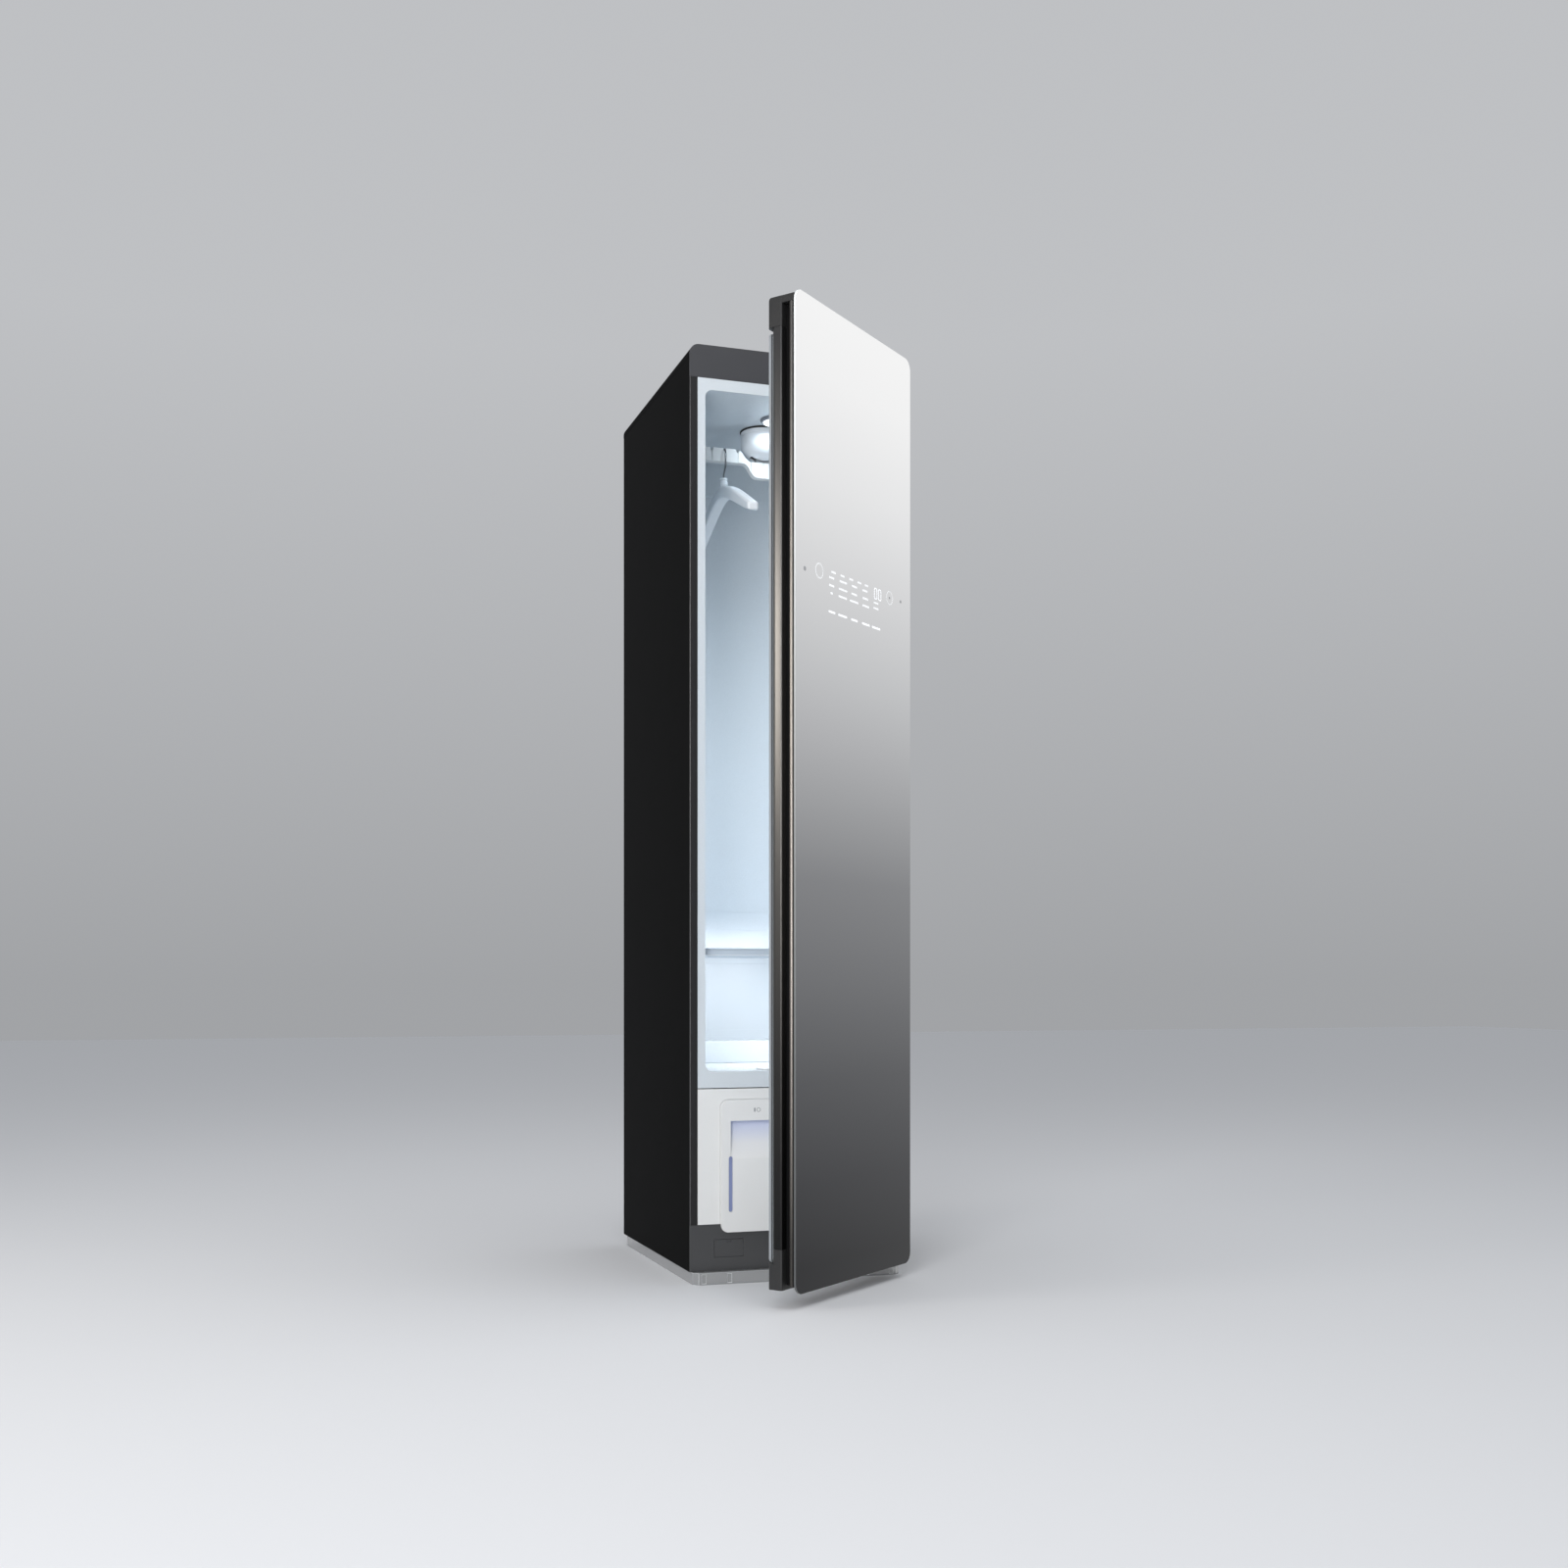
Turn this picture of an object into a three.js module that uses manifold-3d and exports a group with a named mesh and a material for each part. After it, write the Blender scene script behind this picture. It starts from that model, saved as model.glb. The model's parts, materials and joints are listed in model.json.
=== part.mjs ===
// Clothes care steam cabinet: a slim floor-standing closet with a hinged mirror door, a shaker bar for hangers,
// a steam generator, a heat pump and two pull-out water tanks.
// Millimetres. +X right as seen from the front, +Y from the front to the back, +Z up.
// The origin is on the floor, at the centre of the cabinet body's footprint. The door stands ajar.

import * as THREE from "three";
import { mergeVertices } from "three/addons/utils/BufferGeometryUtils.js";
import Module from "manifold-3d";

const wasm = await Module();
wasm.setup();

// Overall sizes
const cabinetWidth = 445;
const cabinetHeight = 1850;
const bodyDepth = 536;
const doorThickness = 52;
const doorGap = 12;
const doorAngleDegrees = 38.8;

// Shared walls and clearances
const fitGap = 0.3;
const overrun = 1;
const sheet = 1;
const frontPlate = 3;
const topRadius = 19;
const topSkirt = 6;
const boreGap = 0.3;

// Heights of the zones of the front
const plinthHeight = 24;
const kickTop = 116;
const lowerPanelTop = 385;
const floorLip = 33;
const ceilingLip = 23;
const trimHeight = 65;

// Places that other values follow
const halfWidth = cabinetWidth / 2;
const front = -bodyDepth / 2;
const back = bodyDepth / 2;
const bodyBottom = plinthHeight + fitGap;
const trimBottom = cabinetHeight - trimHeight;
const coverBottom = cabinetHeight - topRadius - topSkirt;
const cabinFloor = lowerPanelTop + floorLip;
const cabinCeiling = trimBottom - ceilingLip;
const innerHalf = halfWidth - sheet - fitGap;
const backPanelBack = back - sheet - fitGap;
const backPanelFront = backPanelBack - sheet;

// Base
const plinth = { sideInset: 3.5, frontReach: 17, backInset: 10, chamfer: 10 };
const foot = { sideInset: 42, endInset: 58, padRadius: 18, padHeight: 6, stemRadius: 5, stemHeight: 22 };
const pan = { floor: 2, wallHeight: 18 };

// Side panels and back
const sidePanel = { flangeWidth: 16, returnWidth: 14 };
const backVent = { columns: 2, rows: 7, width: 70, height: 5, pitch: 12, spacing: 180, bottom: 250 };
const inlet = { width: 48, height: 28, sideRoom: 92.5, z: 90 };
const inletX = inlet.sideRoom - halfWidth;

// Cabin liner
const cabin = { sideRoom: 32, backRoom: 81, wall: 2.5, cornerRadius: 15 };
const ledge = { width: 7, height: 6, frontInset: 24, backInset: 31 };
const shelf = { rise: 244, frontHeight: 15, plate: 4, rim: 4, sideGap: 1, frontInset: 22, backInset: 28, slots: 9 };
const shelfSlot = { width: 8, endRoom: 52.5 };
const outlet = { height: 47, depth: 120, wall: 2.5, sideGap: 1, slots: 13, slotWidth: 6, slotPitch: 13 };
const outletSlot = { frontShare: 0.22, backShare: 0.85 };
const lamp = { aheadOfDrive: 85, rimRadius: 31, rimHeight: 6, bodyRadius: 25, bodyHeight: 12, bulge: 5 };

// Shaker
const drive = { aheadOfMiddle: 12.5, domeRadius: 45, domeWall: 2.5, domeBowl: 36, domeHeight: 62.5 };
const shaft = { radius: 4, length: 40 };
const crank = { throw: 8, pinRadius: 2, pinLength: 13, discRadius: 14, discThickness: 5, discDrop: 20 };
const shakerTravel = 8;
const motor = { radius: 30, height: 52 };
const rail = { radius: 3, spread: 17, end: 4, endDepth: 3 };
const carriage = { height: 14, discGap: 3, side: 22, railGap: 0.3, floor: 3, neckWidth: 30, neckDepth: 14 };
const bar = {
  endRoom: 25.5,
  thickness: 16,
  underCeiling: 44,
  height: 28,
  midDrop: 28,
  midSink: 23,
  curveOuter: 46,
  curveInner: 12,
  notchPitch: 28.5,
  notchWidth: 6,
  notchDepth: 6,
  grooveWidth: 4,
  grooveDepth: 2,
  endRadius: 6,
};
const notchesPerSide = 4;
const hanger = {
  notch: 3,
  wire: 1.75,
  hookGap: 0.6,
  hookTurn: 14,
  stem: 62,
  neckRadius: 9,
  neckHeight: 20,
  socket: 10,
  endRoom: 27.5,
  drop: 82,
  armHeight: 26,
  tipHeight: 17,
  thickness: 24,
};
const semicircleShare = 4 / 3;
const shoulderShares = { near: 0.25, topFar: 0.55, topFall: 0.45, lowFar: 0.6, lowFall: 0.55 };

// Tanks
const tank = {
  sideRoom: 68.5,
  pairOffset: -4,
  underKickTop: 16,
  underPanelTop: 24,
  between: 2,
  proud: 6,
  corner: 14,
  gripSide: 19,
  gripTop: 41,
  gripHeight: 75,
  gripDepth: 13,
  gripWall: 2,
  slitSide: 15,
  slitWidth: 8.5,
  slitRise: 40,
  slitDrop: 111,
  wall: 2.2,
  backRoom: 356,
  lid: 2.5,
  mouthRadius: 17,
  mouthShare: 0.72,
  sideInset: 7,
};
const bay = { wall: 2, clearance: 2.5, underPanelTop: 33, extraDepth: 8, openingRise: 3 };

// Kick plate
const hatch = { sideRoom: 80.5, z: 68.5, width: 60, height: 35, gap: 0.4, lip: 1 };

// Lint filter and air path
const filter = { width: 110, depth: 30, drop: 44, frontInset: 33, rim: 8, rimHeight: 2.5, wall: 3, handle: 12 };
const filterHandle = { width: 44, thickness: 5 };
const duct = { left: -63, right: 123, wall: 2, channelHeight: 43, boxDepth: 103, boxHeight: 217, backRoom: 276 };
const exchanger = { depth: 35, side: 4, headroom: 27.7, fins: 9, finGap: 4, finDepth: 8, between: 8 };
const blower = { x: 30, drop: 125.2, radius: 70, depth: 60, wall: 2.5, mouth: 42, outletWidth: 60 };
const fan = { radius: 54, hubRadius: 13, disc: 3, blades: 14, blade: 3, bladeLength: 14, endGap: 4 };
const fanShaft = { radius: 4, length: 34, holeGap: 2 };
const blowerMotor = { radius: 32, length: 46 };

// Machine room
const machineShelf = { thickness: 2, backRoom: 168, depth: 120, leg: 2 };
const compressor = {
  sideRoom: 104.5,
  backRoom: 83,
  radius: 52,
  height: 150,
  footRadius: 58,
  footThickness: 5,
  domeShare: 0.22,
  shoulderShare: 0.87,
};
const generator = { sideRoom: 97.5, backRoom: 233, width: 130, depth: 90, height: 86, radius: 12, ribs: 4, rib: 3 };
const steamHose = { radius: 7, backRoom: 156 };
const pump = { width: 40, depth: 38, height: 42, motorRadius: 15, motorHeight: 26, backRoom: 282 };
const pumpSideRoom = { supply: 50.5, waste: 72.5 };
const controlBox = { sideRoom: 22.5, width: 134, depth: 46, bottom: 52, top: 178 };
const pipe = { radius: 4, bend: 26, rise: 60, sideRoom: 30.5, backRoom: 208 };

// Insulation around the liner
const foamGap = 0.3;

// Door, measured from its front face towards its back
const glass = { thickness: 4, bottom: 28, corner: 22 };
const display = { thickness: 2.4, inset: 3 };
const strip = { thickness: 8.4, inset: 1, width: 14 };
const core = { thickness: 13.6, groove: 16, inset: 3 };
const layers = { topInset: 23, bottom: 43 };
const frame = { bottom: 108, topInset: 64, bulge: 9, frontBulge: 3 };
const cap = { bottom: 34, topInset: 9, reach: 8.7, lowReachTop: 82, corner: 8, hingeInset: 22, hingeBottom: 43 };
const hingeZone = 72;
const doorLiner = { side: 26, topInset: 86, bottom: 122, skin: 2.5, plateauInset: 11, plateauRise: 7, corner: 14 };
const gasket = { side: 10.5, width: 13, topInset: 69, dividerInset: 9, corner: 8 };
const displayStart = glass.thickness + fitGap;
const stripStart = displayStart + display.thickness + fitGap;
const coreStart = stripStart + strip.thickness + fitGap;
const frameStart = coreStart + core.thickness + fitGap;
const layerTop = cabinetHeight - layers.topInset;
const layerBottom = layers.bottom;
const frameTop = cabinetHeight - frame.topInset;
const capTop = cabinetHeight - cap.topInset;
const capHingeTop = cabinetHeight - cap.hingeInset;
const doorLinerTop = cabinetHeight - doorLiner.topInset;
const doorBack = front - doorGap;
const doorFront = doorBack - doorThickness;

// Hinges
const hinge = { inset: 30, intoCore: 7.3, pinRadius: 4, pinLength: 28, armWidth: 16, armThickness: 4, legWidth: 44 };
const hingeLeg = { upper: 40, lower: 58, thickness: 4, gap: 0.6 };
const swingClearance = 1;
const pinX = halfWidth - hinge.inset;
const pinY = doorFront + coreStart + hinge.intoCore;

// Finishes
const finishes = {
  blackSteel: [0x17181a, 0.45, 0.3],
  darkTrim: [0x4a4b50, 0.5, 0.1],
  darkKick: [0x47484a, 0.55, 0.1],
  liner: [0xe9eef0, 0.35, 0],
  whitePanel: [0xe6e7e6, 0.4, 0],
  clear: [0xd9dde0, 0.1, 0],
  mirror: [0xb4b8bd, 0.05, 0.9],
  black: [0x0c0c0d, 0.6, 0],
  champagne: [0x9a938c, 0.3, 0.9],
  satin: [0x5c5b5a, 0.35, 0.8],
  gasket: [0xdfe5ea, 0.6, 0],
  tub: [0x9db4dc, 0.2, 0],
  steel: [0x9b9fa3, 0.35, 0.9],
  zinc: [0x8f9498, 0.45, 0.8],
  copper: [0xb0693c, 0.35, 0.9],
  alloy: [0xb9bcbf, 0.4, 0.9],
  foam: [0xdcdcd6, 0.9, 0],
  rubber: [0x1c1c1c, 0.8, 0],
  greyPlastic: [0x8c9093, 0.5, 0],
  shelfBar: [0x9aa6b2, 0.35, 0.1],
  lampGlow: [0xf7fbff, 0.3, 0],
};

// Group tree: each moving body is a group of its own
const cabinet = new THREE.Group();
const doorSwing = new THREE.Group();
const door = new THREE.Group();
doorSwing.position.set(pinX, pinY, 0);
doorSwing.rotation.z = THREE.MathUtils.degToRad(doorAngleDegrees);
door.position.set(-pinX, -pinY, 0);
doorSwing.add(door);
cabinet.add(doorSwing);

function addPiece(parent, name, geometry, finish) {
  const [color, roughness, metalness] = finishes[finish];
  const mesh = new THREE.Mesh(geometry, new THREE.MeshStandardMaterial({ color, roughness, metalness }));
  mesh.name = name;
  parent.add(mesh);
  return mesh;
}

// Solids: geometries as manifolds, and back
function solid(geometry) {
  const bare = geometry.index ? geometry.toNonIndexed() : geometry.clone();
  bare.deleteAttribute("normal");
  bare.deleteAttribute("uv");
  const merged = mergeVertices(bare, 1e-4);
  return new wasm.Manifold(
    new wasm.Mesh({
      numProp: 3,
      vertProperties: new Float32Array(merged.attributes.position.array),
      triVerts: new Uint32Array(merged.index.array),
    }),
  );
}

function geometryOf(manifold) {
  const mesh = manifold.getMesh();
  const geometry = new THREE.BufferGeometry();
  geometry.setAttribute("position", new THREE.BufferAttribute(new Float32Array(mesh.vertProperties), 3));
  geometry.setIndex(new THREE.BufferAttribute(new Uint32Array(mesh.triVerts), 1));
  geometry.computeVertexNormals();
  return geometry;
}

function cut(base, ...tools) {
  return tools.reduce((result, tool) => result.subtract(tool), base);
}

function join(base, ...others) {
  return others.reduce((result, other) => result.add(other), base);
}

// Shapes
function block(x0, x1, y0, y1, z0, z1) {
  const geometry = new THREE.BoxGeometry(x1 - x0, y1 - y0, z1 - z0);
  geometry.translate((x0 + x1) / 2, (y0 + y1) / 2, (z0 + z1) / 2);
  return solid(geometry);
}

function roundedOutline(x0, x1, y0, y1, radii) {
  const [r00, r10, r11, r01] = Array.isArray(radii) ? radii : [radii, radii, radii, radii];
  const shape = new THREE.Shape();
  shape.moveTo(x0 + r00, y0);
  shape.lineTo(x1 - r10, y0);
  if (r10) shape.absarc(x1 - r10, y0 + r10, r10, -Math.PI / 2, 0, false);
  shape.lineTo(x1, y1 - r11);
  if (r11) shape.absarc(x1 - r11, y1 - r11, r11, 0, Math.PI / 2, false);
  shape.lineTo(x0 + r01, y1);
  if (r01) shape.absarc(x0 + r01, y1 - r01, r01, Math.PI / 2, Math.PI, false);
  shape.lineTo(x0, y0 + r00);
  if (r00) shape.absarc(x0 + r00, y0 + r00, r00, Math.PI, 1.5 * Math.PI, false);
  return shape;
}

function polygon(points) {
  return new THREE.Shape(points.map(([x, y]) => new THREE.Vector2(x, y)));
}

function extruded(shape, depth, curveSegments) {
  return new THREE.ExtrudeGeometry(shape, { depth, bevelEnabled: false, curveSegments });
}

// An outline in X and Y, extruded upwards
function prismZ(shape, z0, z1, curveSegments = 5) {
  const geometry = extruded(shape, z1 - z0, curveSegments);
  geometry.translate(0, 0, z0);
  return solid(geometry);
}

// An outline in X and Z, extruded from the front to the back
function prismY(shape, y0, y1, curveSegments = 5) {
  const geometry = extruded(shape, y1 - y0, curveSegments);
  geometry.rotateX(Math.PI / 2);
  geometry.translate(0, y1, 0);
  return solid(geometry);
}

// An outline in Y and Z, extruded from left to right
function prismX(shape, x0, x1, curveSegments = 5) {
  const geometry = extruded(shape, x1 - x0, curveSegments);
  geometry.rotateX(Math.PI / 2);
  geometry.rotateZ(Math.PI / 2);
  geometry.translate(x0, 0, 0);
  return solid(geometry);
}

function cylinderZ(x, y, z0, z1, radius, sides = 20) {
  const geometry = new THREE.CylinderGeometry(radius, radius, z1 - z0, sides);
  geometry.rotateX(Math.PI / 2);
  geometry.translate(x, y, (z0 + z1) / 2);
  return solid(geometry);
}

function cylinderY(x, z, y0, y1, radius, sides = 20) {
  const geometry = new THREE.CylinderGeometry(radius, radius, y1 - y0, sides);
  geometry.translate(x, (y0 + y1) / 2, z);
  return solid(geometry);
}

function cylinderX(y, z, x0, x1, radius, sides = 12) {
  const geometry = new THREE.CylinderGeometry(radius, radius, x1 - x0, sides);
  geometry.rotateZ(Math.PI / 2);
  geometry.translate((x0 + x1) / 2, y, z);
  return solid(geometry);
}

// A profile of radius and height, turned about a vertical axis
function turned(points, x, y, sides = 24) {
  const geometry = new THREE.LatheGeometry(
    points.map(([radius, height]) => new THREE.Vector2(radius, height)),
    sides,
  );
  geometry.rotateX(Math.PI / 2);
  geometry.translate(x, y, 0);
  return solid(geometry);
}

function tubeAlong(pieces, radius, steps, sides = 8) {
  const section = new THREE.Shape();
  for (let i = 0; i < sides; i += 1) {
    const angle = (i / sides) * 2 * Math.PI;
    const point = [radius * Math.cos(angle), radius * Math.sin(angle)];
    if (i === 0) section.moveTo(...point);
    else section.lineTo(...point);
  }
  section.closePath();
  const path = new THREE.CurvePath();
  pieces.forEach((piece) => path.add(piece));
  const geometry = new THREE.ExtrudeGeometry(section, { steps, extrudePath: path, bevelEnabled: false });
  return solid(geometry);
}

// A route of straight runs whose corners are rounded by quadratic bends
function bentPath(corners, bend) {
  const pieces = [];
  const at = corners.map(([x, y, z]) => new THREE.Vector3(x, y, z));
  let start = at[0];
  for (let i = 1; i < at.length - 1; i += 1) {
    const before = at[i].clone().add(start.clone().sub(at[i]).setLength(bend));
    const after = at[i].clone().add(at[i + 1].clone().sub(at[i]).setLength(bend));
    pieces.push(new THREE.LineCurve3(start, before));
    pieces.push(new THREE.QuadraticBezierCurve3(before, at[i], after));
    start = after;
  }
  pieces.push(new THREE.LineCurve3(start, at[at.length - 1]));
  return pieces;
}

// Base: clear plinth, levelling feet and base pan
const panBottom = bodyBottom + foot.padHeight + fitGap;
const panTop = panBottom + pan.floor;

function buildPlinth() {
  const half = halfWidth - plinth.sideInset;
  const y0 = front - plinth.frontReach;
  const y1 = back - plinth.backInset;
  const c = plinth.chamfer;
  const outline = polygon([
    [-half + c, y0],
    [half - c, y0],
    [half, y0 + c],
    [half, y1 - c],
    [half - c, y1],
    [-half + c, y1],
    [-half, y1 - c],
    [-half, y0 + c],
  ]);
  addPiece(cabinet, "plinth", geometryOf(prismZ(outline, 0, plinthHeight)), "clear");
}

function footPlaces() {
  const x = halfWidth - foot.sideInset;
  return [
    ["front_left", -x, front + foot.endInset],
    ["front_right", x, front + foot.endInset],
    ["rear_left", -x, back - foot.endInset],
    ["rear_right", x, back - foot.endInset],
  ];
}

function buildFeet() {
  for (const [place, x, y] of footPlaces()) {
    const profile = [
      [0, bodyBottom],
      [foot.padRadius, bodyBottom],
      [foot.padRadius, bodyBottom + foot.padHeight],
      [foot.stemRadius, bodyBottom + foot.padHeight],
      [foot.stemRadius, bodyBottom + foot.padHeight + foot.stemHeight],
      [0, bodyBottom + foot.padHeight + foot.stemHeight],
    ];
    addPiece(cabinet, `levelling_foot_${place}`, geometryOf(turned(profile, x, y, 16)), "rubber");
  }
}

function buildBasePan() {
  const y0 = front + frontPlate + fitGap;
  const y1 = backPanelFront - fitGap;
  const wall = sheet;
  const tray = cut(
    block(-innerHalf, innerHalf, y0, y1, panBottom, panBottom + pan.wallHeight),
    block(-innerHalf + wall, innerHalf - wall, y0 + wall, y1 - wall, panTop, panBottom + pan.wallHeight + overrun),
    ...footPlaces().map(([, x, y]) =>
      cylinderZ(x, y, panBottom - overrun, panTop + overrun, foot.stemRadius + boreGap, 16),
    ),
    lowerLegRelief(),
  );
  addPiece(cabinet, "base_pan", geometryOf(tray), "zinc");
}

// Outer shell
function buildSidePanel(side) {
  const s = side;
  const points = [
    [s * halfWidth, front],
    [s * (halfWidth - sidePanel.flangeWidth), front],
    [s * (halfWidth - sidePanel.flangeWidth), front + sheet],
    [s * (halfWidth - sheet), front + sheet],
    [s * (halfWidth - sheet), back - sheet],
    [s * (halfWidth - sidePanel.returnWidth), back - sheet],
    [s * (halfWidth - sidePanel.returnWidth), back],
    [s * halfWidth, back],
  ];
  const top = coverBottom - fitGap;
  const reliefBack = front + frontPlate + fitGap;
  const panel = cut(
    prismZ(polygon(points), bodyBottom, top),
    block(-halfWidth - overrun, halfWidth + overrun, front - overrun, reliefBack, trimBottom - fitGap, top + overrun),
    block(-halfWidth - overrun, halfWidth + overrun, front - overrun, reliefBack, 0, kickTop + fitGap),
  );
  addPiece(cabinet, side < 0 ? "side_panel_left" : "side_panel_right", geometryOf(panel), "blackSteel");
}

function buildBackPanel() {
  const top = coverBottom + topSkirt / 2;
  const slots = [];
  for (let column = 0; column < backVent.columns; column += 1) {
    const x = (column - (backVent.columns - 1) / 2) * backVent.spacing;
    for (let row = 0; row < backVent.rows; row += 1) {
      const z = backVent.bottom + row * backVent.pitch;
      slots.push(
        block(
          x - backVent.width / 2,
          x + backVent.width / 2,
          backPanelFront - overrun,
          backPanelBack + overrun,
          z,
          z + backVent.height,
        ),
      );
    }
  }
  const panel = cut(
    block(-innerHalf, innerHalf, backPanelFront, backPanelBack, bodyBottom, top),
    block(
      inletX - inlet.width / 2,
      inletX + inlet.width / 2,
      backPanelFront - overrun,
      backPanelBack + overrun,
      inlet.z - inlet.height / 2,
      inlet.z + inlet.height / 2,
    ),
    ...slots,
  );
  addPiece(cabinet, "back_panel", geometryOf(panel), "zinc");
}

function buildTopCover() {
  const outer = roundedOutline(-halfWidth, halfWidth, coverBottom, cabinetHeight, [0, 0, topRadius, topRadius]);
  const r = topRadius - sheet;
  const inner = roundedOutline(
    -halfWidth + sheet,
    halfWidth - sheet,
    coverBottom - overrun,
    cabinetHeight - sheet,
    [0, 0, r, r],
  );
  const y0 = front + frontPlate + fitGap;
  const cover = cut(prismY(outer, y0, back, 8), prismY(inner, y0 - overrun, back - sheet, 8));
  addPiece(cabinet, "top_cover", geometryOf(cover), "blackSteel");
}

function buildFrontTrim() {
  const outline = roundedOutline(-halfWidth, halfWidth, trimBottom, cabinetHeight, [0, 0, topRadius, topRadius]);
  const lipDepth = 4 * frontPlate;
  const half = innerHalf - topRadius;
  const trim = cut(
    join(
      prismY(outline, front, front + frontPlate, 8),
      block(-half, pinX - hinge.legWidth, front + sheet, front + lipDepth, trimBottom, trimBottom + frontPlate),
    ),
    upperArmSlot(),
  );
  addPiece(cabinet, "front_trim", geometryOf(trim), "darkTrim");
}

function buildKickPlate() {
  const x0 = hatch.sideRoom - halfWidth - hatch.width / 2;
  const z0 = hatch.z - hatch.height / 2;
  const plate = cut(
    block(-halfWidth, halfWidth, front, front + frontPlate, bodyBottom, kickTop),
    block(x0, x0 + hatch.width, front - overrun, front + frontPlate + overrun, z0, z0 + hatch.height),
    lowerArmSlot(),
  );
  addPiece(cabinet, "kick_plate", geometryOf(plate), "darkKick");
  const g = hatch.gap;
  const lip = hatch.lip;
  const cover = join(
    block(x0 + g, x0 + hatch.width - g, front, front + frontPlate + fitGap, z0 + g, z0 + hatch.height - g),
    block(
      x0 - lip,
      x0 + hatch.width + lip,
      front + frontPlate + fitGap,
      front + frontPlate + fitGap + lip,
      z0 - lip,
      z0 + hatch.height + lip,
    ),
  );
  addPiece(cabinet, "kick_hatch", geometryOf(cover), "darkKick");
}

const linerFlangeHalf = halfWidth - sidePanel.flangeWidth - fitGap;
const tankWidth = halfWidth - tank.sideRoom;
const tankLength = bodyDepth - tank.backRoom;
const bayHalf = tankWidth + tank.between / 2 - tank.sideInset + bay.clearance;
const bayLeft = tank.pairOffset - bayHalf;
const bayRight = tank.pairOffset + bayHalf;
const bayBottom = kickTop + bay.openingRise;
const bayTop = lowerPanelTop - bay.underPanelTop;

function buildLowerFrontPanel() {
  const panel = cut(
    block(-linerFlangeHalf, linerFlangeHalf, front, front + frontPlate, kickTop + fitGap, lowerPanelTop),
    block(bayLeft, bayRight, front - overrun, front + frontPlate + overrun, bayBottom, bayTop),
  );
  addPiece(cabinet, "lower_front_panel", geometryOf(panel), "whitePanel");
}

// Cabin
const cabinBack = back - cabin.backRoom;
const cabinHalf = halfWidth - cabin.sideRoom;
const linerBottom = cabinFloor - cabin.wall;
const driveY = (front + cabinBack) / 2 - drive.aheadOfMiddle;
const lampY = driveY - lamp.aheadOfDrive;
const filterFront = front + filter.frontInset;
const shelfTop = cabinFloor + shelf.rise;
const ductTop = linerBottom - fitGap;
const boxFront = back - duct.backRoom;
const boxBack = boxFront + duct.boxDepth;
const boxBottom = ductTop - duct.boxHeight;
const blowerFront = boxBack + fitGap;
const blowerZ = ductTop - blower.drop;
const generatorX = generator.sideRoom - halfWidth;
const generatorY = back - generator.backRoom;
const hoseY = back - steamHose.backRoom;
const outletHole = {
  x0: blower.x - blower.radius + blower.wall,
  x1: blower.x - blower.radius + blower.outletWidth - blower.wall,
  y0: blowerFront + blower.wall,
  y1: blowerFront + blower.depth - blower.wall,
};

function buildLiner() {
  const w = cabin.wall;
  const flange = block(
    -linerFlangeHalf,
    linerFlangeHalf,
    front,
    front + w,
    lowerPanelTop + fitGap,
    trimBottom - fitGap,
  );
  const outer = roundedOutline(-cabinHalf - w, cabinHalf + w, linerBottom, cabinCeiling + w, cabin.cornerRadius + w);
  const inner = roundedOutline(-cabinHalf, cabinHalf, cabinFloor, cabinCeiling, cabin.cornerRadius);
  const ledges = [-1, 1].map((side) => {
    const x0 = side < 0 ? -cabinHalf - w / 2 : cabinHalf - ledge.width;
    const x1 = side < 0 ? -cabinHalf + ledge.width : cabinHalf + w / 2;
    const y0 = front + ledge.frontInset;
    const top = shelfTop - shelf.frontHeight;
    return block(x0, x1, y0, cabinBack - ledge.backInset, top - ledge.height, top);
  });
  const shell = cut(
    join(prismY(outer, front, cabinBack + w), flange),
    prismY(inner, front - overrun, cabinBack),
  );
  const liner = cut(
    join(shell, ...ledges),
    cylinderZ(0, lampY, cabinCeiling - overrun, cabinCeiling + w + overrun, lamp.bodyRadius + fitGap, 24),
    cylinderZ(0, driveY, cabinCeiling - overrun, cabinCeiling + w + overrun, 2 * shaft.radius, 16),
    block(
      -filter.width / 2,
      filter.width / 2,
      filterFront,
      filterFront + filter.depth,
      linerBottom - overrun,
      cabinFloor + overrun,
    ),
    block(outletHole.x0, outletHole.x1, outletHole.y0, outletHole.y1, linerBottom - overrun, cabinFloor + overrun),
    cylinderZ(generatorX, hoseY, linerBottom - overrun, cabinFloor + overrun, steamHose.radius + boreGap, 16),
  );
  addPiece(cabinet, "cabin_liner", geometryOf(liner), "liner");
}

function buildInsulation() {
  const outerHalf = innerHalf;
  const innerWall = cabinHalf + cabin.wall + foamGap;
  const y0 = front + frontPlate + 2 * fitGap;
  const yInner = cabinBack + cabin.wall + foamGap;
  const outline = polygon([
    [-outerHalf, y0],
    [-innerWall, y0],
    [-innerWall, yInner],
    [innerWall, yInner],
    [innerWall, y0],
    [outerHalf, y0],
    [outerHalf, backPanelFront - fitGap],
    [-outerHalf, backPanelFront - fitGap],
  ]);
  addPiece(cabinet, "insulation", geometryOf(prismZ(outline, linerBottom, trimBottom - fitGap)), "foam");
}

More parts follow.
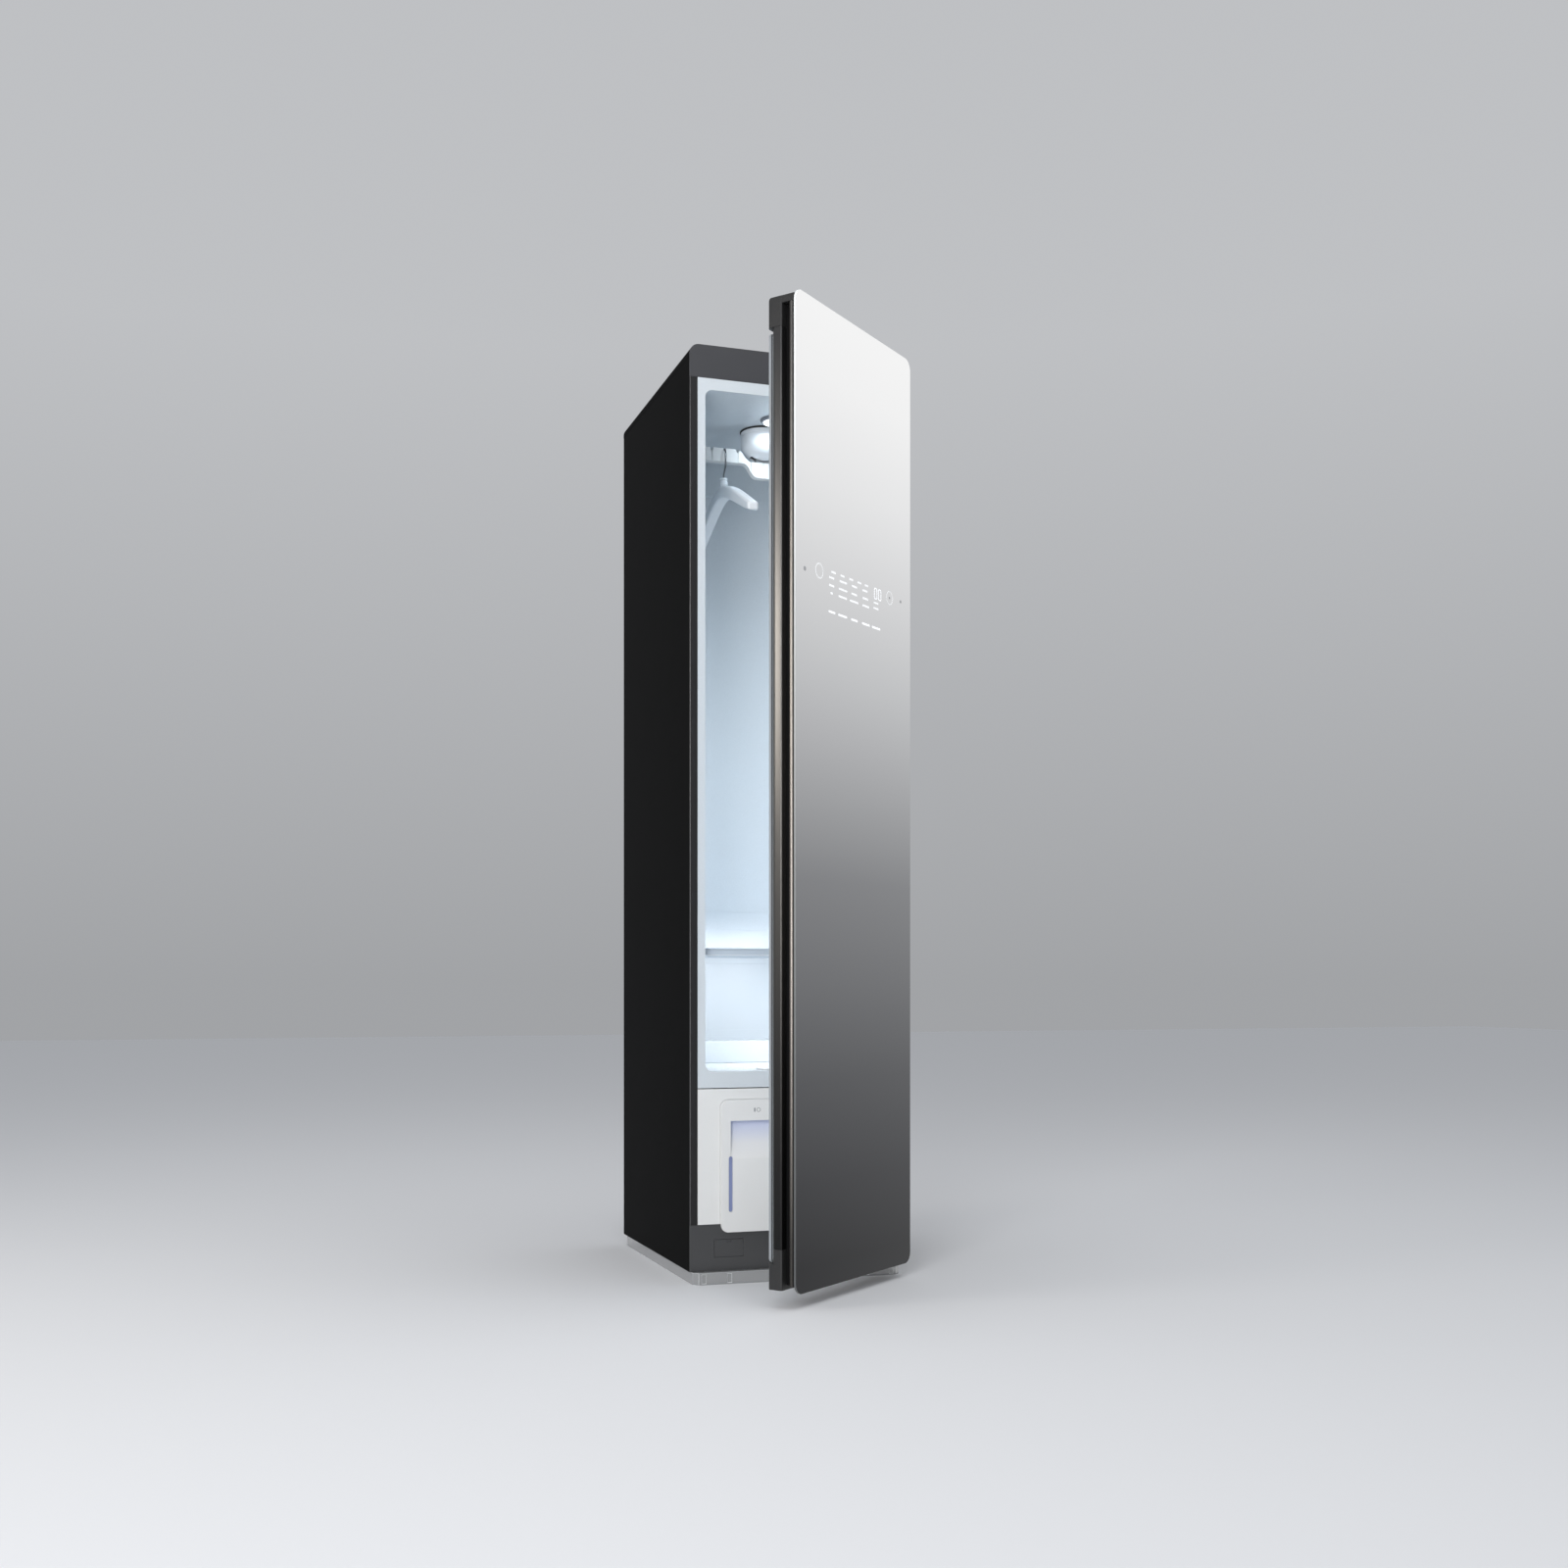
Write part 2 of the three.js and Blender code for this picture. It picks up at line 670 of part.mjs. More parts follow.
function buildShelf() {
  const half = cabinHalf - shelf.sideGap;
  const y0 = front + shelf.frontInset;
  const y1 = cabinBack - shelf.backInset;
  const bottom = shelfTop - shelf.frontHeight + fitGap;
  const slots = [];
  const pitch = (2 * half - 2 * shelf.rim) / (shelf.slots + 1);
  for (let i = 1; i <= shelf.slots; i += 1) {
    const x = -half + shelf.rim + i * pitch;
    slots.push(
      block(
        x - shelfSlot.width / 2,
        x + shelfSlot.width / 2,
        y0 + shelfSlot.endRoom,
        y1 - shelfSlot.endRoom,
        bottom - overrun,
        shelfTop + overrun,
      ),
    );
  }
  const tray = cut(
    block(-half, half, y0, y1, bottom, shelfTop),
    block(
      -half + shelf.rim,
      half - shelf.rim,
      y0 + shelf.rim,
      y1 - shelf.rim,
      bottom - overrun,
      shelfTop - shelf.plate,
    ),
    ...slots,
  );
  addPiece(cabinet, "shelf", geometryOf(tray), "shelfBar");
}

function buildOutletCover() {
  const half = cabinHalf - outlet.sideGap;
  const y0 = cabinBack - outlet.depth;
  const y1 = cabinBack - fitGap;
  const z0 = cabinFloor + fitGap;
  const z1 = cabinFloor + outlet.height;
  const w = outlet.wall;
  const r = cabin.cornerRadius;
  const outer = roundedOutline(-half, half, z0, z1, [r, r, 0, 0]);
  const slots = [];
  for (let i = 0; i < outlet.slots; i += 1) {
    const x = (i - (outlet.slots - 1) / 2) * outlet.slotPitch;
    slots.push(
      block(
        x - outlet.slotWidth / 2,
        x + outlet.slotWidth / 2,
        y0 + outletSlot.frontShare * outlet.depth,
        y0 + outletSlot.backShare * outlet.depth,
        z1 - 2 * w,
        z1 + overrun,
      ),
    );
  }
  const cover = cut(
    prismY(outer, y0, y1),
    block(-half + w + r, half - w - r, y0 + w, y1 - w, z0 - overrun, z1 - w),
    ...slots,
  );
  addPiece(cabinet, "outlet_cover", geometryOf(cover), "liner");
}

function buildLamp() {
  const z = cabinCeiling - fitGap;
  const profile = [
    [0, z - lamp.rimHeight - lamp.bulge],
    [lamp.bodyRadius * Math.SQRT1_2, z - lamp.rimHeight - lamp.bulge / 2],
    [lamp.bodyRadius, z - lamp.rimHeight],
    [lamp.rimRadius, z - lamp.rimHeight / 2],
    [lamp.rimRadius, z],
    [lamp.bodyRadius, z],
    [lamp.bodyRadius, z + lamp.bodyHeight],
    [0, z + lamp.bodyHeight],
  ];
  addPiece(cabinet, "ceiling_lamp", geometryOf(turned(profile, 0, lampY)), "lampGlow");
}

// Shaker drive
const discTop = cabinCeiling - crank.discDrop + crank.discThickness / 2;
const discBottom = discTop - crank.discThickness;
const carriageTop = discBottom - carriage.discGap;
const carriageBottom = carriageTop - carriage.height;
const railZ = (carriageTop + carriageBottom) / 2;
const windowHalfX = crank.throw + crank.pinRadius + shakerTravel + boreGap;
const windowHalfY = crank.throw + crank.pinRadius + boreGap;
const carriageHalf = windowHalfX + carriage.floor;
const railInner = carriageHalf + shakerTravel + boreGap;

function domeProfile(radius, wall, top, bowl, bowlHeight) {
  const points = [];
  const steps = 5;
  const bowlTop = bowl + bowlHeight;
  for (let i = 0; i <= steps; i += 1) {
    const a = (i / steps) * (Math.PI / 2);
    points.push([radius * Math.sin(a), bowlTop - bowlHeight * Math.cos(a)]);
  }
  points.push([radius, top]);
  points.push([radius - wall, top]);
  for (let i = steps; i >= 0; i -= 1) {
    const a = (i / steps) * (Math.PI / 2);
    points.push([(radius - wall) * Math.sin(a), bowlTop - (bowlHeight - wall) * Math.cos(a)]);
  }
  return points;
}

function buildDome() {
  const top = cabinCeiling - fitGap;
  const bottom = top - drive.domeHeight;
  const profile = domeProfile(drive.domeRadius, drive.domeWall, top, bottom, drive.domeBowl);
  const slotX = carriage.neckWidth / 2 + shakerTravel + 1.5 * drive.domeWall;
  const slotY = carriage.neckDepth / 2 + drive.domeWall / 2;
  const slotTop = bottom + drive.domeBowl / 2;
  const dome = cut(
    turned(profile, 0, driveY, 32),
    block(-slotX, slotX, driveY - slotY, driveY + slotY, bottom - overrun, slotTop),
  );
  addPiece(cabinet, "drive_dome", geometryOf(dome), "whitePanel");
}

function buildDriveMotor() {
  const z = cabinCeiling + cabin.wall + fitGap;
  const body = cut(
    cylinderZ(0, driveY, z, z + motor.height, motor.radius, 24),
    cylinderZ(0, driveY, z - overrun, z + shaft.length - crank.discDrop, shaft.radius + boreGap, 16),
  );
  addPiece(cabinet, "drive_motor", geometryOf(body), "greyPlastic");
}

function buildRail() {
  const outer = railInner + rail.end;
  const rods = [-1, 1].map((side) =>
    cylinderX(driveY + side * rail.spread, railZ, -railInner - rail.end / 2, railInner + rail.end / 2, rail.radius),
  );
  const ends = [-1, 1].map((side) => {
    const x0 = side < 0 ? -outer : railInner;
    const halfY = rail.spread + rail.endDepth;
    return block(x0, x0 + rail.end, driveY - halfY, driveY + halfY, railZ - rail.radius, cabinCeiling - fitGap);
  });
  addPiece(cabinet, "guide_rail", geometryOf(join(ends[0], rods[0], rods[1], ends[1])), "steel");
}

function buildCrank() {
  const pinTop = discBottom + crank.discThickness / 2;
  const spindleTop = cabinCeiling + cabin.wall + shaft.length - crank.discDrop - crank.discThickness;
  const part = join(
    cylinderZ(0, driveY, discBottom, discTop, crank.discRadius, 20),
    cylinderZ(0, driveY, discTop - crank.discThickness / 2, spindleTop, shaft.radius, 16),
    cylinderZ(crank.throw, driveY, pinTop - crank.pinLength, pinTop, crank.pinRadius, 12),
  );
  addPiece(cabinet, "drive_crank", geometryOf(part), "steel");
}

function buildCarriage() {
  const bores = [-1, 1].map((side) =>
    cylinderX(
      driveY + side * rail.spread,
      railZ,
      -carriageHalf - overrun,
      carriageHalf + overrun,
      rail.radius + carriage.railGap,
    ),
  );
  const neckTop = carriageBottom + carriage.floor / 2;
  const body = cut(
    join(
      block(-carriageHalf, carriageHalf, driveY - carriage.side, driveY + carriage.side, carriageBottom, carriageTop),
      block(
        -carriage.neckWidth / 2,
        carriage.neckWidth / 2,
        driveY - carriage.neckDepth / 2,
        driveY + carriage.neckDepth / 2,
        barMidTop + fitGap,
        neckTop,
      ),
    ),
    block(
      -windowHalfX,
      windowHalfX,
      driveY - windowHalfY,
      driveY + windowHalfY,
      carriageBottom + carriage.floor,
      carriageTop + overrun,
    ),
    ...bores,
  );
  addPiece(cabinet, "shaker_carriage", geometryOf(body), "greyPlastic");
}

const barTop = cabinCeiling - bar.underCeiling;
const barMidTop = barTop - bar.midSink;
const barHalf = cabinHalf - bar.endRoom;

function barOutline() {
  const low = barTop - bar.height;
  const midLow = low - bar.midDrop;
  const c0 = bar.curveOuter;
  const c1 = bar.curveInner;
  const upper0 = bar.curveOuter + bar.height / 2;
  const upper1 = bar.curveInner + bar.height / 2;
  const shape = new THREE.Shape();
  const r = bar.endRadius;
  const middle = (c0 + c1) / 2;
  const upperMiddle = (upper0 + upper1) / 2;
  shape.moveTo(-barHalf + r, low);
  shape.lineTo(-c0, low);
  shape.bezierCurveTo(-middle, low, -middle, midLow, -c1, midLow);
  shape.lineTo(c1, midLow);
  shape.bezierCurveTo(middle, midLow, middle, low, c0, low);
  shape.lineTo(barHalf - r, low);
  shape.absarc(barHalf - r, low + r, r, -Math.PI / 2, 0, false);
  shape.lineTo(barHalf, barTop - r);
  shape.absarc(barHalf - r, barTop - r, r, 0, Math.PI / 2, false);
  shape.lineTo(upper0, barTop);
  shape.bezierCurveTo(upperMiddle, barTop, upperMiddle, barMidTop, upper1, barMidTop);
  shape.lineTo(-upper1, barMidTop);
  shape.bezierCurveTo(-upperMiddle, barMidTop, -upperMiddle, barTop, -upper0, barTop);
  shape.lineTo(-barHalf + r, barTop);
  shape.absarc(-barHalf + r, barTop - r, r, Math.PI / 2, Math.PI, false);
  shape.lineTo(-barHalf, low + r);
  shape.absarc(-barHalf + r, low + r, r, Math.PI, 1.5 * Math.PI, false);
  return shape;
}

function buildBar() {
  const cuts = [];
  const y0 = driveY - bar.thickness / 2;
  const y1 = driveY + bar.thickness / 2;
  const halfNotch = bar.notchWidth / 2;
  const halfGroove = bar.grooveWidth / 2;
  const bottom = barTop - bar.height - bar.midDrop - overrun;
  for (let i = -notchesPerSide; i <= notchesPerSide; i += 1) {
    const x = i * bar.notchPitch;
    cuts.push(block(x - halfGroove, x + halfGroove, y0 - overrun, y0 + bar.grooveDepth, bottom, barTop + overrun));
    if (Math.abs(x) > bar.curveOuter) {
      cuts.push(
        block(
          x - halfNotch,
          x + halfNotch,
          y0 - overrun,
          y1 + overrun,
          barTop - bar.notchDepth,
          barTop + overrun,
        ),
      );
    }
  }
  const body = cut(prismY(barOutline(), y0, y1, 6), ...cuts);
  addPiece(cabinet, "shaker_bar", geometryOf(body), "whitePanel");
}

// Hanger: a wire hook over the bar and a shouldered body that runs from the front to the back
function buildHanger() {
  const x = -hanger.notch * bar.notchPitch;
  const r = hanger.wire;
  const turn = hanger.hookTurn;
  const seatHeight = barTop - bar.notchDepth + hanger.hookGap;
  const arcCentre = seatHeight - Math.sqrt((turn - r) ** 2 - (bar.thickness / 2) ** 2);
  const neckTop = barTop - hanger.stem;
  const bendStart = neckTop + r;
  const bendEnd = bendStart + 2 * turn;
  const at = (y, z) => new THREE.Vector3(x, y, z);
  const pieces = [
    new THREE.LineCurve3(at(driveY, neckTop - hanger.socket), at(driveY, bendStart)),
    new THREE.CubicBezierCurve3(
      at(driveY, bendStart),
      at(driveY, bendStart + turn),
      at(driveY - turn, bendStart + turn),
      at(driveY - turn, bendEnd),
    ),
    new THREE.LineCurve3(at(driveY - turn, bendEnd), at(driveY - turn, arcCentre)),
    new THREE.CubicBezierCurve3(
      at(driveY - turn, arcCentre),
      at(driveY - turn, arcCentre + semicircleShare * turn),
      at(driveY + turn, arcCentre + semicircleShare * turn),
      at(driveY + turn, arcCentre),
    ),
    new THREE.LineCurve3(at(driveY + turn, arcCentre), at(driveY + turn, arcCentre - turn / 2)),
  ];
  addPiece(cabinet, "hanger_hook", geometryOf(tubeAlong(pieces, r, 48)), "steel");

  const half = hanger.thickness / 2;
  const neckBottom = neckTop - hanger.neckHeight;
  const bore = cylinderZ(x, driveY, neckTop - hanger.socket - fitGap, neckTop + overrun, r + boreGap, 12);
  const neck = cylinderZ(x, driveY, neckBottom - hanger.armHeight / 2, neckTop, hanger.neckRadius, 16);
  const body = cut(join(prismX(hangerOutline(neckBottom), x - half, x + half, 6), neck), bore);
  addPiece(cabinet, "hanger_body", geometryOf(body), "whitePanel");
}

function hangerOutline(top) {
  const y = driveY;
  const span = (cabinBack - front) / 2 - hanger.endRoom;
  const tip = top - hanger.drop;
  const share = shoulderShares;
  const upper = [share.near * span, share.topFar * span, share.topFall * hanger.drop];
  const lower = [share.lowFar * span, top - share.lowFall * hanger.drop - hanger.armHeight, top - hanger.armHeight];
  const shape = new THREE.Shape();
  shape.moveTo(y, top);
  shape.bezierCurveTo(y + upper[0], top, y + upper[1], top - upper[2], y + span, tip);
  shape.lineTo(y + span, tip - hanger.tipHeight);
  shape.bezierCurveTo(y + lower[0], lower[1], y + upper[0], lower[2], y, lower[2]);
  shape.bezierCurveTo(y - upper[0], lower[2], y - lower[0], lower[1], y - span, tip - hanger.tipHeight);
  shape.lineTo(y - span, tip);
  shape.bezierCurveTo(y - upper[1], top - upper[2], y - upper[0], top, y, top);
  return shape;
}

// Water tanks and their bay
function buildBay() {
  const w = bay.wall;
  const y0 = front + frontPlate + fitGap;
  const y1 = front + tank.gripDepth + tankLength + bay.extraDepth;
  const z0 = bayBottom;
  const box = block(bayLeft - w, bayRight + w, y0, y1 + w, z0 - w, bayTop + w);
  const hollow = block(bayLeft, bayRight, y0 - overrun, y1, z0, bayTop);
  addPiece(cabinet, "tank_bay", geometryOf(cut(box, hollow)), "greyPlastic");
}

function buildTank(side, name) {
  const near = tank.between / 2;
  const x0 = tank.pairOffset + (side < 0 ? -near - tankWidth : near);
  const x1 = x0 + tankWidth;
  const r = tank.corner;
  const y0 = front - tank.proud;
  const y1 = front - fitGap;
  const gripX0 = x0 + tank.gripSide;
  const gripX1 = x1 - tank.gripSide;
  const frontBottom = kickTop - tank.underKickTop;
  const frontTop = lowerPanelTop - tank.underPanelTop;
  const gripTop = frontTop - tank.gripTop;
  const gripBottom = gripTop - tank.gripHeight;
  const plate = prismY(roundedOutline(x0, x1, frontBottom, frontTop, r), y0, y1);
  const pocketWall = tank.gripWall;
  const pocketBack = y0 + tank.gripDepth + pocketWall;
  const pocket = block(
    gripX0 - pocketWall,
    gripX1 + pocketWall,
    (y0 + y1) / 2,
    pocketBack,
    bayBottom + bay.clearance,
    gripTop + pocketWall,
  );
  const scoop = polygon([
    [y0 - overrun, gripTop],
    [y0 + tank.gripDepth, gripTop],
    [y0 + tank.gripDepth, gripTop - tank.gripDepth],
    [y0, gripBottom],
    [y0 - overrun, gripBottom],
  ]);
  const slitX = side < 0 ? x0 + tank.slitSide : x1 - tank.slitSide - tank.slitWidth;
  const facia = cut(
    join(plate, pocket),
    prismX(scoop, gripX0, gripX1),
    block(
      slitX,
      slitX + tank.slitWidth,
      y0 - overrun,
      pocketBack + overrun,
      frontBottom + tank.slitRise,
      frontTop - tank.slitDrop,
    ),
  );
  addPiece(cabinet, `${name}_tank_front`, geometryOf(facia), "whitePanel");

  const w = tank.wall;
  const tubX0 = x0 + tank.sideInset;
  const tubX1 = x1 - tank.sideInset;
  const tubY0 = pocketBack + fitGap;
  const tubY1 = tubY0 + tankLength;
  const tubZ0 = bayBottom + bay.clearance;
  const lidTop = bayTop - bay.clearance;
  const tubTop = lidTop - tank.lid - fitGap;
  const tub = cut(
    block(tubX0, tubX1, tubY0, tubY1, tubZ0, tubTop),
    block(tubX0 + w, tubX1 - w, tubY0 + w, tubY1 - w, tubZ0 + w, tubTop + overrun),
  );
  addPiece(cabinet, `${name}_tank_tub`, geometryOf(tub), "tub");

  const mouthX = (tubX0 + tubX1) / 2;
  const mouthY = tubY0 + tank.mouthShare * tankLength;
  const lid = cut(
    block(tubX0, tubX1, tubY0, tubY1, tubTop + fitGap, lidTop),
    cylinderZ(mouthX, mouthY, tubTop, lidTop + overrun, tank.mouthRadius, 20),
  );
  addPiece(cabinet, `${name}_tank_lid`, geometryOf(lid), "whitePanel");
}

// Lint filter: a cassette that lifts up out of its slot in the cabin floor
function buildFilter() {
  const g = fitGap;
  const x = filter.width / 2 - g;
  const y0 = filterFront + g;
  const y1 = filterFront + filter.depth - g;
  const z0 = cabinFloor - filter.drop;
  const rimZ = cabinFloor + g;
  const w = filter.wall;
  const middle = (y0 + y1) / 2;
  const body = join(
    cut(
      block(-x, x, y0, y1, z0, rimZ + filter.rimHeight),
      block(-x + w, x - w, y0 - overrun, y1 + overrun, z0 + w, cabinFloor - cabin.wall - w),
    ),
    block(-x + w / 2, x - w / 2, middle - w / 4, middle + w / 4, z0 + w / 2, cabinFloor - cabin.wall),
    block(-x - filter.rim, x + filter.rim, y0 - filter.rim, y1 + filter.rim, rimZ, rimZ + filter.rimHeight),
    block(
      -filterHandle.width / 2,
      filterHandle.width / 2,
      middle - filterHandle.thickness / 2,
      middle + filterHandle.thickness / 2,
      rimZ,
      rimZ + filter.rimHeight + filter.handle,
    ),
  );
  addPiece(cabinet, "lint_filter", geometryOf(body), "whitePanel");
}

// Air path under the cabin floor
function buildDuct() {
  const w = duct.wall;
  const channelFront = filterFront - filter.rim;
  const channelBottom = ductTop - duct.channelHeight - w;
  const outer = join(
    block(duct.left, duct.right, channelFront, boxBack, channelBottom, ductTop),
    block(duct.left, duct.right, boxFront, boxBack, boxBottom, ductTop),
  );
  const inner = join(
    block(duct.left + w, duct.right - w, channelFront + w, boxBack - w, channelBottom + w, ductTop - w),
    block(duct.left + w, duct.right - w, boxFront + w, boxBack - w, boxBottom + w, ductTop - w),
  );
  const shell = cut(
    outer,
    inner,
    block(
      -filter.width / 2,
      filter.width / 2,
      filterFront,
      filterFront + filter.depth,
      ductTop - w - overrun,
      ductTop + overrun,
    ),
    cylinderY(blower.x, blowerZ, boxBack - w - overrun, boxBack + overrun, blower.mouth, 24),
  );
  addPiece(cabinet, "air_duct", geometryOf(shell), "greyPlastic");
}

function buildExchanger(name, y0, finish) {
  const x0 = duct.left + duct.wall + fitGap;
  const x1 = duct.right - duct.wall - fitGap;
  const y1 = y0 + exchanger.depth;
  const z0 = boxBottom + duct.wall + fitGap;
  const z1 = ductTop - duct.wall - exchanger.headroom;
  const grooves = [];
  const pitch = (x1 - x0) / (exchanger.fins + 1);
  for (let i = 1; i <= exchanger.fins; i += 1) {
    const x = x0 + i * pitch;
    grooves.push(
      block(
        x - exchanger.finGap / 2,
        x + exchanger.finGap / 2,
        y0 - overrun,
        y0 + exchanger.finDepth,
        z0 + exchanger.side,
        z1 - exchanger.side,
      ),
    );
  }
  addPiece(cabinet, name, geometryOf(cut(block(x0, x1, y0, y1, z0, z1), ...grooves)), finish);
}

// Blower: scroll housing, impeller with its shaft, and motor
function scrollOutline(shrink) {
  const shape = new THREE.Shape();
  const r = blower.radius - shrink;
  const x0 = blower.x - blower.radius + shrink;
  const x1 = blower.x - blower.radius + blower.outletWidth - shrink;
  const rise = Math.sqrt(r * r - (x1 - blower.x) * (x1 - blower.x));
  const top = shrink ? ductTop + overrun : ductTop;
  const startAngle = Math.atan2(rise, x1 - blower.x);
  shape.moveTo(x1, top);
  shape.lineTo(x0, top);
  shape.lineTo(x0, blowerZ);
  shape.absarc(blower.x, blowerZ, r, Math.PI, 2 * Math.PI + startAngle, false);
  return shape;
}

function buildBlower() {
  const w = blower.wall;
  const y0 = blowerFront;
  const y1 = y0 + blower.depth;
  const housing = cut(
    prismY(scrollOutline(0), y0, y1, 20),
    prismY(scrollOutline(w), y0 + w, y1 - w, 20),
    cylinderY(blower.x, blowerZ, y0 - overrun, y0 + w + overrun, blower.mouth, 24),
    cylinderY(blower.x, blowerZ, y1 - w - overrun, y1 + overrun, fanShaft.radius + fanShaft.holeGap, 16),
  );
  addPiece(cabinet, "blower_housing", geometryOf(housing), "greyPlastic");

  const motorY = y1 + fitGap;
  const motorBody = cut(
    cylinderY(blower.x, blowerZ, motorY, motorY + blowerMotor.length, blowerMotor.radius, 24),
    cylinderY(blower.x, blowerZ, motorY - overrun, motorY + fanShaft.length, fanShaft.radius + boreGap, 16),
  );
  addPiece(cabinet, "blower_motor", geometryOf(motorBody), "steel");

  const fanFront = y0 + w + fan.endGap;
  const fanBack = y1 - w - fan.endGap;
  const discFront = fanBack - fan.disc;
  const blades = [];
  for (let i = 0; i < fan.blades; i += 1) {
    const geometry = new THREE.BoxGeometry(fan.bladeLength, fanBack - fanFront - fan.disc / 2, fan.blade);
    geometry.translate(fan.radius - fan.bladeLength / 2 - fan.blade, (fanFront + fanBack - fan.disc / 2) / 2, 0);
    geometry.rotateY((i / fan.blades) * 2 * Math.PI);
    geometry.translate(blower.x, 0, blowerZ);
    blades.push(solid(geometry));
  }
  const impeller = join(
    cylinderY(blower.x, blowerZ, discFront, fanBack, fan.radius, 28),
    cylinderY(blower.x, blowerZ, discFront - 4 * fan.disc, fanBack, fan.hubRadius, 16),
    cylinderY(blower.x, blowerZ, discFront, motorY + fanShaft.length - 2 * fan.disc, fanShaft.radius, 16),
    ...blades,
  );
  addPiece(cabinet, "blower_fan", geometryOf(impeller), "greyPlastic");
}

// Machine room
function buildMachineShelf() {
  const half = innerHalf - sheet - fitGap;
  const z1 = boxBottom - fitGap;
  const z0 = z1 - machineShelf.thickness;
  const leg = machineShelf.leg;
  const y1 = back - machineShelf.backRoom;
  const y0 = y1 - machineShelf.depth;
  const part = join(
    block(-half, half, y0, y1, z0, z1),
    block(-half, -half + leg, y0, y1, panTop + fitGap, z1),
    block(half - leg, half, y0, y1, panTop + fitGap, z1),
  );
  addPiece(cabinet, "machine_shelf", geometryOf(part), "zinc");
}

const compressorX = halfWidth - compressor.sideRoom;
const compressorY = back - compressor.backRoom;

function buildCompressor() {
  const z0 = panTop + fitGap;
  const z1 = z0 + compressor.height;
  const r = compressor.radius;
  const dome = compressor.domeShare * compressor.height;
  const profile = [
    [0, z0],
    [compressor.footRadius, z0],
    [compressor.footRadius, z0 + compressor.footThickness],
    [r, z0 + compressor.footThickness],
    [r, z1 - dome],
    [compressor.shoulderShare * r, z1 - dome / 2],
    [r / 2, z1 - dome / 8],
    [0, z1],
  ];
  addPiece(cabinet, "compressor", geometryOf(turned(profile, compressorX, compressorY, 24)), "rubber");
}

function buildSteamGenerator() {
  const x0 = generatorX - generator.width / 2;
  const x1 = generatorX + generator.width / 2;
  const y0 = generatorY - generator.depth / 2;
  const y1 = generatorY + generator.depth / 2;
  const z0 = panTop + fitGap;
  const z1 = z0 + generator.height;
  const grooves = [];
  for (let i = 0; i < generator.ribs; i += 1) {
    const z = z0 + ((i + 1) / (generator.ribs + 1)) * generator.height;
    grooves.push(block(x0 - overrun, x1 + overrun, y0 - overrun, y0 + generator.rib, z, z + generator.rib));
  }
  const body = cut(prismZ(roundedOutline(x0, x1, y0, y1, generator.radius), z0, z1), ...grooves);
  addPiece(cabinet, "steam_generator", geometryOf(body), "alloy");

  const hoseZ = z0 + generator.height - 2 * steamHose.radius;
  const route = bentPath(
    [
      [generatorX, y1 + fitGap, hoseZ],
      [generatorX, hoseY, hoseZ],
      [generatorX, hoseY, cabinFloor + 2 * steamHose.radius],
    ],
    hoseY - y1 - 4 * fitGap,
  );
  addPiece(cabinet, "steam_hose", geometryOf(tubeAlong(route, steamHose.radius, 24, 10)), "rubber");
}

function buildPump(name, x) {
  const z0 = panTop + fitGap;
  const z1 = z0 + pump.height;
  const y1 = back - pump.backRoom;
  const part = join(
    block(x - pump.width / 2, x + pump.width / 2, y1 - pump.depth, y1, z0, z1),
    cylinderZ(x, y1 - pump.depth / 2, z1 - pump.height / 4, z1 + pump.motorHeight, pump.motorRadius, 16),
  );
  addPiece(cabinet, name, geometryOf(part), "greyPlastic");
}

function buildControlBox() {
  const y1 = backPanelFront - fitGap;
  const y0 = y1 - controlBox.depth;
  const x0 = controlBox.sideRoom - halfWidth;
  const box = cut(
    block(x0, x0 + controlBox.width, y0, y1, controlBox.bottom, controlBox.top),
    block(
      inletX - inlet.width / 2,
      inletX + inlet.width / 2,
      y1 - controlBox.depth / 2,
      y1 + overrun,
      inlet.z - inlet.height / 2,
      inlet.z + inlet.height / 2,
    ),
  );
  addPiece(cabinet, "control_box", geometryOf(box), "darkKick");
}

function buildPipe() {
  const top = panTop + fitGap + compressor.height;
  const z = top + pipe.rise;
  const side = halfWidth - pipe.sideRoom;
  const endY = back - pipe.backRoom;
  const route = bentPath(
    [
      [compressorX, compressorY, top + fitGap],
      [compressorX, compressorY, z],
      [side, compressorY, z],
      [side, endY, z],
      [duct.right + fitGap, endY, z],
    ],
    pipe.bend,
  );
  addPiece(cabinet, "refrigerant_pipe", geometryOf(tubeAlong(route, pipe.radius, 48)), "copper");
}

// Hinge brackets: an arm with its pin in front, and a leg behind the plate that the arm passes through
const upperArm = { z0: capHingeTop + 1, z1: capHingeTop + 1 + hinge.armThickness };
const lowerArm = { z0: cap.hingeBottom - 1 - hinge.armThickness, z1: cap.hingeBottom - 1 };
const legFront = front + frontPlate + hingeLeg.gap;
const legBack = legFront + hingeLeg.thickness;

function armSlot(arm) {
  const x0 = pinX - hinge.armWidth / 2 - fitGap;
  const x1 = pinX + hinge.armWidth / 2 + fitGap;
  return block(x0, x1, front - overrun, front + frontPlate + overrun, arm.z0 - fitGap, arm.z1 + fitGap);
}

function upperArmSlot() {
  return armSlot(upperArm);
}

function lowerArmSlot() {
  return armSlot(lowerArm);
}

function lowerLegRelief() {
  const x0 = pinX - hinge.legWidth / 2 - overrun;
  const x1 = pinX + hinge.legWidth / 2 + overrun;
  return block(x0, x1, front, legBack + overrun, panTop, panBottom + pan.wallHeight + overrun);
}

